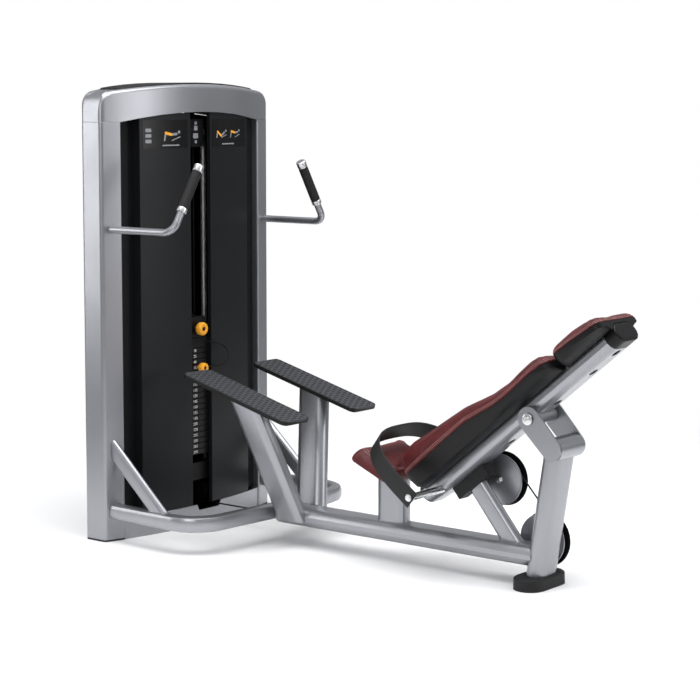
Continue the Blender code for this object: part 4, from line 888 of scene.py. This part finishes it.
def smooth_route(knots, per_span=10):
    """Catmull-Rom curve through given knots."""
    k = np.array(knots, float)
    k = np.concatenate([k[:1], k, k[-1:]])
    t = np.linspace(0.0, 1.0, per_span, endpoint=False)[:, None]
    spans = []
    for a, b, c, d in zip(k, k[1:], k[2:], k[3:]):
        square = (2 * a - 5 * b + 4 * c - d) * t ** 2
        cube = (3 * b - a - 3 * c + d) * t ** 3
        spans.append(0.5 * (2 * b + (c - a) * t + square + cube))
    return np.concatenate(spans + [k[-1:]])


def lanyard():
    """Helix of 3 mm pitch wound on the lanyard's route."""
    head_low = box_of("head_plate")[0][2]
    top = np.array([STACK_X + half_plate + 0.018, 0.026, head_low + 0.024])
    end = np.array([STACK_X + half_plate + 0.0105, 0.013, pin_at[2]])
    knots = [top, top + (0.016, 0.030, -0.006), top + (0.026, 0.075, -0.024), top + (0.028, 0.100, -0.052),
             top + (0.026, 0.098, -0.080), top + (0.022, 0.070, -0.100), end + (0.012, 0.040, 0.002), end]
    path = smooth_route(knots, 24)
    run = np.concatenate([[0.0], np.cumsum(np.linalg.norm(np.diff(path, axis=0), axis=1))])
    at = np.linspace(0.0, run[-1], int(run[-1] / 0.00025))
    line = np.stack([np.interp(at, run, path[:, k]) for k in range(3)], 1)
    tangent = np.gradient(line, axis=0)
    tangent /= np.linalg.norm(tangent, axis=1, keepdims=True)
    u = np.array([1.0, 0.0, 0.0]) - tangent * tangent[:, :1]
    u /= np.linalg.norm(u, axis=1, keepdims=True)
    v = np.cross(tangent, u)
    turn = at / 0.0030 * 2 * math.pi
    fade = np.clip(np.minimum(at, run[-1] - at) / 0.006, 0.0, 1.0)[:, None] * 0.0024
    coil = line + fade * (np.cos(turn)[:, None] * u + np.sin(turn)[:, None] * v)
    mesh = surface("lanyard", carried(coil, circle(0.0007, 6), (1, 0, 0)))
    piece("lanyard_coil", mesh, ABS, "stack", ["pin_lanyard"], 60.0)


lanyard()

# %% [markdown]
# ## Steel cable
# One jacketed cable runs from the bench to the stack.  Two stretches change length as the machine
# moves: the loop over the arm sheave, and the loop that lifts the stack.  Their meshes are cut finer
# and left on no body, fixed in place.

# %% Moving stretches of the cable
def moving_cable(node):
    """Frame's cable with its long straight runs cut finer, left on no body."""
    mesh = frame["nodes"][node].data.copy()
    work = bmesh.new()
    work.from_mesh(mesh)
    bmesh.ops.remove_doubles(work, verts=work.verts, dist=1e-5)
    long = [e for e in work.edges if e.calc_length() > 0.03]
    bmesh.ops.subdivide_edges(work, edges=long, cuts=12)
    work.to_mesh(mesh)
    work.free()
    thing = piece(node + "_skin", mesh, ABS, None, [node], 60.0)
    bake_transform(thing)


moving_cable("cable_arm_loop")
moving_cable("cable_lift_loop")

# %% [markdown]
# ## Hip belt
# The belt is a stiff strap of rubberised webbing, 68 mm wide, arched over the bench and hung on
# the rod's studs.  Its middle line is a flattened arch, and its section a thin rounded bar.  The
# weave needs to follow the strap, so each point also stores its distance along and across it.

# %% Hip belt
BELT_WIDE, BELT_THICK, BELT_ARCH, BELT_REACH = 0.068, 0.005, 0.300, 0.2445
BELT_LEAN = math.radians(14.4)


def webbing():
    mat, tree, shader = new_material("rubberised webbing", "#151516", 0.0, 0.55, Specular_IOR_Level=0.4)
    strap = add(tree, "ShaderNodeAttribute", attribute_name="strap").outputs["Vector"]
    along = add(tree, "ShaderNodeTexWave", [("Vector", strap)], Scale=105.0, bands_direction="X")
    across = add(tree, "ShaderNodeTexWave", [("Vector", strap)], Scale=105.0, bands_direction="Y")
    weave = add(tree, "ShaderNodeMath", [(0, along.outputs["Fac"]), (1, across.outputs["Fac"])],
                operation="MULTIPLY")
    tree.links.new(shader.inputs["Base Color"], ramp(tree, weave.outputs["Value"], "#101011", "#232325"))
    bump(tree, shader, weave.outputs["Value"], 0.5, 0.0005)
    return mat


def hip_belt():
    """Arch |y/r|^2.9 + |h/a|^2.9 = 1, leaned back, carried with a thin section."""
    power = 2.0 / 2.9
    t = np.linspace(0.05, math.pi - 0.05, 150)
    y = -BELT_REACH * np.sign(np.cos(t)) * np.abs(np.cos(t)) ** power
    h = BELT_ARCH * np.sin(t) ** power
    y = np.concatenate([[-BELT_REACH, -BELT_REACH], y, [BELT_REACH, BELT_REACH]])
    h = np.concatenate([[-0.016, 0.005], h, [0.005, -0.016]])
    rod = np.array([-0.485, 0.017])
    lean_s, lean_n = -math.sin(BELT_LEAN), math.cos(BELT_LEAN)
    path = bench(rod[0] + lean_s * h, y, rod[1] + lean_n * h)
    wide = math.cos(BELT_LEAN) * ALONG + math.sin(BELT_LEAN) * OUT
    outline = soft_rectangle(BELT_WIDE, BELT_THICK, 0.0019, 4)
    points = carried(path, outline, wide)
    mesh = surface("hip_belt", points)
    run = np.concatenate([[0.0], np.cumsum(np.linalg.norm(np.diff(path, axis=0), axis=1))])
    strap = np.zeros(points.shape)
    strap[..., 0], strap[..., 1] = run[:, None], outline[None, :, 0]
    mesh.attributes.new("strap", "FLOAT_VECTOR", "POINT").data.foreach_set("vector", strap.reshape(-1))
    piece("hip_belt_strap", mesh, WEBBING, "belt", ["hip_belt"], 50.0)
    return rod


def belt_fittings(rod):
    """Nickel washer and socket bolt on each end of the rod, outside the belt."""
    ends = []
    for side in (-1, 1):
        profile = [(0.0030, 0.2478), (0.0125, 0.2480), (0.0130, 0.2488), (0.0130, 0.2500), (0.0100, 0.2504),
                   (0.0098, 0.2540), (0.0088, 0.2548), (0.0048, 0.2549), (0.0042, 0.2520), (0.0005, 0.2518)]
        ends.append(turned(profile, bench(rod[0], 0.0, rod[1]), side * ACROSS, 32))
    piece("belt_fittings", join("belt_fittings", ends), NICKEL, "bench", (), 35.0)


WEBBING = webbing()
belt_fittings(hip_belt())


def hinge_bolts():
    """Washer and domed socket screw over each end of the hinge shaft."""
    low, high = box_of("pivot_shaft")
    ends = []
    for side, reach in ((-1, -low[1]), (1, high[1])):
        profile = [(0.0200, -0.0035), (0.0200, 0.0004), (0.0190, 0.0010), (0.0125, 0.0011), (0.0118, 0.0026),
                   (0.0095, 0.0042), (0.0060, 0.0047), (0.0056, 0.0012), (0.0004, 0.0011)]
        profile = [(r, h + reach) for r, h in profile]
        ends.append(turned(profile, np.array(PIVOT) * (1, 0, 1), side * ACROSS, 36))
    piece("hinge_bolts", join("hinge_bolts", ends), NICKEL, "frame", (), 35.0)


hinge_bolts()

# %% [markdown]
# ## Upholstered pads
# Each pad is foam on a tray, pulled tight in vinyl.  The frame's plain pad is remeshed finely and
# blown up by a short cloth simulation, with its underside held, so the panels crown between their
# seams.  A groove is then pressed in along the seam, and two rows of stitches follow it.

# %% Cushion by cloth simulation
def swollen(node, name, cap, voxel=0.005, up=OUT, pressure=4.0):
    """Remesh, blow up with the underside pinned, and limit how far any point moves."""
    source = frame["nodes"][node].data.copy()
    base = bpy.data.objects.new(name, source)
    bpy.context.scene.collection.objects.link(base)
    remesh = base.modifiers.new("fine skin", "REMESH")
    remesh.mode, remesh.voxel_size = "VOXEL", voxel
    graph = bpy.context.evaluated_depsgraph_get()
    mesh = bpy.data.meshes.new_from_object(base.evaluated_get(graph))
    base.modifiers.clear()
    base.data = mesh
    count = len(mesh.vertices)
    start = np.empty(count * 3)
    mesh.vertices.foreach_get("co", start)
    start = start.reshape(-1, 3)
    normals = np.empty(count * 3)
    mesh.vertices.foreach_get("normal", normals)
    facing = normals.reshape(-1, 3) @ up
    pins = base.vertex_groups.new(name="held")
    pins.add(np.nonzero(facing < -0.5)[0].tolist(), 1.0, "REPLACE")
    cloth = base.modifiers.new("foam and vinyl", "CLOTH")
    cloth.settings.vertex_group_mass = "held"
    cloth.settings.use_pressure = True
    cloth.settings.uniform_pressure_force = pressure
    cloth.settings.effector_weights.gravity = 0.0
    cloth.settings.quality = 4
    scene = bpy.context.scene
    for number_of_frame in range(1, 21):
        scene.frame_set(number_of_frame)
    graph = bpy.context.evaluated_depsgraph_get()
    blown = bpy.data.meshes.new_from_object(base.evaluated_get(graph))
    end = np.empty(count * 3)
    blown.vertices.foreach_get("co", end)
    move = end.reshape(-1, 3) - start
    long = np.linalg.norm(move, axis=1, keepdims=True)
    limited = move * np.minimum(1.0, cap / np.maximum(long, 1e-9))
    base.modifiers.clear()
    start = start + limited
    mesh.vertices.foreach_set("co", start.ravel())
    scene.frame_set(1)
    print(name, "moved up to", round(float(long.max()) * 1000, 1), "mm, kept to", cap * 1000)
    finer = base.modifiers.new("finer", "SUBSURF")
    finer.levels = finer.render_levels = 1
    graph = bpy.context.evaluated_depsgraph_get()
    final = bpy.data.meshes.new_from_object(base.evaluated_get(graph))
    bpy.data.objects.remove(base, do_unlink=True)
    return final


# %% [markdown]
# ## Sewn seams
# Upholstery thread pulls a seam down into the foam.  The groove is pressed into the finished
# skin, and each stitch is a short bead of thread laid on it where a ray from outside lands.

# %% Seams and stitches
def pressed(mesh, path, depth, width):
    """Presses a seam into a mesh: points near the path move in along their normal by a bell curve."""
    from mathutils.kdtree import KDTree
    tree = KDTree(len(path))
    for k, spot in enumerate(path):
        tree.insert(spot, k)
    tree.balance()
    count = len(mesh.vertices)
    co, no = np.empty(count * 3), np.empty(count * 3)
    mesh.vertices.foreach_get("co", co)
    mesh.vertices.foreach_get("normal", no)
    co, no = co.reshape(-1, 3), no.reshape(-1, 3)
    near = np.array([tree.find(v)[2] for v in co])
    co -= no * (depth * np.exp(-(near / width) ** 2))[:, None]
    mesh.vertices.foreach_set("co", co.ravel())
    mesh.update()


def laid_on(mesh, origins, directions, lift=0.0):
    """Where rays from outside first meet the mesh, lifted a little off it."""
    tree = BVHTree.FromPolygons([v.co[:] for v in mesh.vertices], [p.vertices[:] for p in mesh.polygons])
    spots = []
    for origin, direction in zip(origins, directions):
        hit, normal, _, _ = tree.ray_cast(Vector(origin), Vector(direction))
        if hit is not None:
            spots.append(tuple(hit + normal * lift))
    return np.array(spots)


def stitch_row(path, long=0.0050, gap=0.0024, r=0.0009):
    """Small capsules end to end along a path, each a stretched, rounded tube."""
    run = np.concatenate([[0.0], np.cumsum(np.linalg.norm(np.diff(path, axis=0), axis=1))])
    starts = np.arange(0.0, run[-1] - long, long + gap)
    t = np.linspace(0.0, 2 * math.pi, 6, endpoint=False)
    share = np.array([0.0, 0.18, 0.5, 0.82, 1.0])
    fat = np.array([0.35, 0.9, 1.0, 0.9, 0.35])
    at = starts[:, None] + share[None, :] * long
    centre = np.stack([np.interp(at, run, path[:, k]) for k in range(3)], -1)
    tangent = centre[:, -1] - centre[:, 0]
    tangent /= np.linalg.norm(tangent, axis=1, keepdims=True)
    helper = np.where(np.abs(tangent[:, 2:3]) < 0.8, np.array([[0.0, 0.0, 1.0]]), np.array([[1.0, 0.0, 0.0]]))
    u = np.cross(tangent, helper)
    u /= np.linalg.norm(u, axis=1, keepdims=True)
    v = np.cross(tangent, u)
    ring = np.cos(t)[:, None] * u[:, None, None, :] + np.sin(t)[:, None] * v[:, None, None, :]
    points = centre[:, :, None, :] + r * fat[None, :, None, None] * ring
    rows, cols = len(share), len(t)
    faces = [grid_faces(rows, cols, False, True, k * rows * cols) for k in range(len(starts))]
    mesh = bpy.data.meshes.new("stitches")
    mesh.from_pydata(points.reshape(-1, 3).tolist(), [], np.concatenate(faces).tolist())
    return mesh


# %% [markdown]
# ## Back pad and headrest
# Both pads follow the beam and share one make: the seam's height is read from a few knots along
# the beam, and the groove and stitches run right round the pad.

# %% Back pad and headrest
def read(s, knots):
    """Straight-line reading between (station, value) knots."""
    knots = np.array(knots)
    return np.interp(s, knots[:, 0], knots[:, 1])


def around(low, high, half, r):
    """Rounded rectangle in (s, y) walked once, with its outward directions."""
    out = soft_rectangle(high - low, 2 * half, r, 10)
    ring = np.concatenate([out, out[:1]])
    run = np.concatenate([[0.0], np.cumsum(np.linalg.norm(np.diff(ring, axis=0), axis=1))])
    at = np.linspace(0.0, run[-1], int(run[-1] / 0.004), endpoint=False)
    s = np.interp(at, run, ring[:, 0]) + (low + high) / 2
    y = np.interp(at, run, ring[:, 1])
    ds, dy = np.gradient(s), np.gradient(y)
    size = np.hypot(ds, dy)
    return s, y, dy / size, -ds / size


def bench_pad(node, name, low, high, half, seam_knots, cap, rises):
    """Pad of the bench: swollen, seamed, stitched in rows at the given heights over its tray."""
    mesh = swollen(node, name, cap)
    s, y, out_s, out_y = around(low, high, half, 0.034)
    inward = -(out_s[:, None] * ALONG + out_y[:, None] * ACROSS)
    rows = []
    for rise in rises:
        height = read(s, seam_knots) + rise
        origins = bench(s, y, height) - inward * 0.08
        rows.append(laid_on(mesh, origins, inward, 0.0))
    middle = rows[len(rows) // 2]
    pressed(mesh, middle, 0.0012, 0.0035)
    thing = piece(name, mesh, VINYL, "bench", [node], 180.0)
    threads = [stitch_row(rows[k]) for k in (0, -1)]
    piece(name + "_stitches", join(name + "_stitches", threads), THREAD, "bench", (), 60.0)
    print(name, len(mesh.polygons), "faces")


BACK_SEAM = [(-0.538, 0.116), (-0.39, 0.120), (-0.19, 0.1215), (-0.16, 0.117), (-0.05, 0.099), (0.014, 0.097),
             (0.147, 0.101), (0.19, 0.097), (0.222, 0.091)]
HEAD_SEAM = [(0.236, 0.100), (0.33, 0.096), (0.462, 0.083)]
bench_pad("back_pad", "back_cushion", -0.538, 0.222, 0.140, BACK_SEAM, 0.007, (0.0105, 0.0135, 0.0165))
bench_pad("headrest", "head_cushion", 0.236, 0.462, 0.130, HEAD_SEAM, 0.005, (0.0065, 0.009, 0.0115))


# %% [markdown]
# ## Seat
# The seat is a short pad on its own post.  Its stitches run in closed rows on the top face.

# %% Seat
SEAT_TILT = math.radians(23.1)
SEAT_LONG, SEAT_HALF = 0.190, 0.150
SEAT_STITCH_INSETS = (0.030, 0.034, 0.038)      # outer stitches, groove, inner stitches
SEAT_SQUEEZE = 0.55                             # the rows run closer to the short edges


def seat_cushion():
    """Seat pad, its stitch rows just inside the slope round its top."""
    tilt = SEAT_TILT
    down = np.array([math.cos(tilt), 0.0, -math.sin(tilt)])
    up = np.array([math.sin(tilt), 0.0, math.cos(tilt)])
    mesh = swollen("seat_pad", "seat_cushion", 0.008, up=up)
    nose = np.array([X0 + 0.931, 0.0, 0.383])
    s, y, _, _ = around(0.0, SEAT_LONG, SEAT_HALF, 0.026)
    rows = []
    for inset in SEAT_STITCH_INSETS:
        mid = SEAT_LONG / 2
        scale_s = (mid - inset * SEAT_SQUEEZE) / mid
        scale_y = (SEAT_HALF - inset) / SEAT_HALF
        spot = nose + ((s - mid) * scale_s + mid)[:, None] * down + (y * scale_y)[:, None] * ACROSS
        rows.append(laid_on(mesh, spot + up * 0.15, np.broadcast_to(-up, spot.shape)))
    pressed(mesh, rows[1], 0.0014, 0.004)
    thing = piece("seat_cushion", mesh, VINYL, "frame", ["seat_pad"], 180.0)
    threads = [stitch_row(rows[k]) for k in (0, -1)]
    piece("seat_stitches", join("seat_stitches", threads), THREAD, "frame", (), 60.0)


seat_cushion()

# %% [markdown]
# ## Instruction placards
# Two printed placards sit at the top of the front panels, with a narrow strip of symbols between
# them.  They follow the panels' curve.  The pictures are a plain stick figure on a bench, in grey
# and orange, with no words.

# %% Placards
TOWER_HALF, FRONT_BOW = 0.4736, 0.075
PLACARD = speckled("printed polycarbonate", "#0b0b0c", "#121213", 0.25, 2.0, 0.00005)
GREY_INK = speckled("grey print", "#7d7f83", "#8b8d91", 0.4, 1.0, 0.00005)


def on_panel(y, z, proud):
    """Front panel surface, a parabola in plan, lifted by proud."""
    x = X0 + FRONT_BOW * (1 - (y / TOWER_HALF) ** 2) - 0.006 + proud
    return np.stack([x, y, z], -1)


def decal(name, outline, proud, thick=0.0006):
    """Flat outline in (y, z) laid on the panel's curve as a thin solid, fanned from its middle."""
    outline = np.asarray(outline, float)
    fine = np.concatenate([np.linspace(outline[i], outline[(i + 1) % len(outline)], 9)[:-1]
                           for i in range(len(outline))])
    middle = fine.mean(0)
    shares = np.array([1.0, 0.75, 0.5, 0.25])
    flat = middle + shares[:, None, None] * (fine - middle)
    top = on_panel(flat[..., 0], flat[..., 1], proud + thick)
    edge = on_panel(fine[None, :, 0], fine[None, :, 1], proud - 0.0006)
    points = np.concatenate([edge, top])
    return surface(name, points, caps=True)


def rounded_card(y0, y1, z0, z1, r=0.006):
    out = soft_rectangle(y1 - y0, z1 - z0, r, 5)
    return out + np.array([(y0 + y1) / 2, (z0 + z1) / 2])


# %% [markdown]
# ## Figures on the placards
# Each figure is a few flat limbs with round ends, and a round head, laid on the panel's curve.

# %% Figures
def limb(a, b, r):
    """Capsule outline from a to b."""
    a, b = np.array(a), np.array(b)
    angle = math.atan2(*(b - a)[::-1])
    t = np.radians(np.linspace(90.0, 270.0, 7)) + angle
    end = np.stack([np.cos(t), np.sin(t)], 1) * r
    return np.concatenate([a + end, b - end])


def figure(y, z, size, high):
    """Generic stick figure lying on a bench: thighs up or down, one limb in orange."""
    hip = (y - 0.02 * size, z + (0.35 if high else 0.12) * size)
    head, chest = (y + 0.62 * size, z + 0.50 * size), (y + 0.42 * size, z + 0.38 * size)
    knee, foot = (y - 0.45 * size, z + 0.45 * size), (y - 0.55 * size, z)
    grey = [limb(chest, hip, 0.075 * size), limb(knee, foot, 0.06 * size), limb(head, head, 0.10 * size),
            limb((y + 0.7 * size, z + 0.2 * size), (y + 0.05 * size, z - 0.02 * size), 0.03 * size)]
    return grey, [limb(hip, knee, 0.085 * size)]


# %% [markdown]
# ## Plates, cards and symbols
# The narrow plate in the slot carries small marks, and the cards on the panels carry figures.

# %% Plates, cards and symbols
SYMBOL_X = 0.040         # face of the narrow plate in the slot, forward of the corners


SIGNS = ((0.004, 1.592, 0.014, 0.012), (0.004, 1.572, 0.020, 0.018),      # y, z, width, height
         (0.003, 1.542, 0.028, 0.020), (0.004, 1.519, 0.012, 0.012))
FIGURES = ((-0.155, 1.528, 0.062, True), (0.125, 1.535, 0.050, False),    # y, z, size, thighs up
           (0.215, 1.535, 0.050, True))


def symbol_plate():
    """Narrow plate that closes the top of the slot."""
    out = soft_rectangle(0.100, 0.108, 0.004, 4) + np.array([0.0, 1.553])
    rings = [np.column_stack([np.full(len(out), X0 + SYMBOL_X + d), out]) for d in (-0.002, 0.0)]
    return surface("symbol_plate", np.array(rings))


def symbols():
    """Four small grey signs, one above the other."""
    marks = []
    for y, z, wide, high in SIGNS:
        out = soft_rectangle(wide, high, 0.003, 3) + np.array([y, z])
        rings = [np.column_stack([np.full(len(out), X0 + SYMBOL_X + d), out]) for d in (0.0002, 0.0006)]
        marks.append(surface("mark", np.array(rings)))
    return marks


def placards():
    cards, grey, orange = [], [], []
    for y0, y1 in ((-0.292, -0.070), (0.070, 0.292)):
        cards.append(decal("card", rounded_card(y0, y1, 1.497, 1.606), 0.0002))
    for y, z, size, high in FIGURES:
        a, b = figure(y, z, size, high)
        grey += [decal("ink", o, 0.0008, 0.0003) for o in a]
        orange += [decal("ink", o, 0.0010, 0.0003) for o in b]
    for k in range(3):
        low = 1.560 - 0.021 * k
        grey.append(decal("ink", rounded_card(-0.279, -0.252, low, low + 0.014, 0.003), 0.0008, 0.0003))
    for y0, y1, z in ((-0.20, -0.115, 1.506), (0.13, 0.21, 1.506)):
        grey.append(decal("ink", rounded_card(y0, y1, z, z + 0.005, 0.002), 0.0008, 0.0003))
    grey += symbols()
    for name, parts, material, slot in (("placards", cards + [symbol_plate()], PLACARD, "charcoal_paint"),
                                        ("placard_figures", grey, GREY_INK, "charcoal_paint"),
                                        ("placard_highlights", orange, ORANGE, "orange_plastic")):
        piece(name, join(name, parts), material, "frame", (), 30.0)


placards()
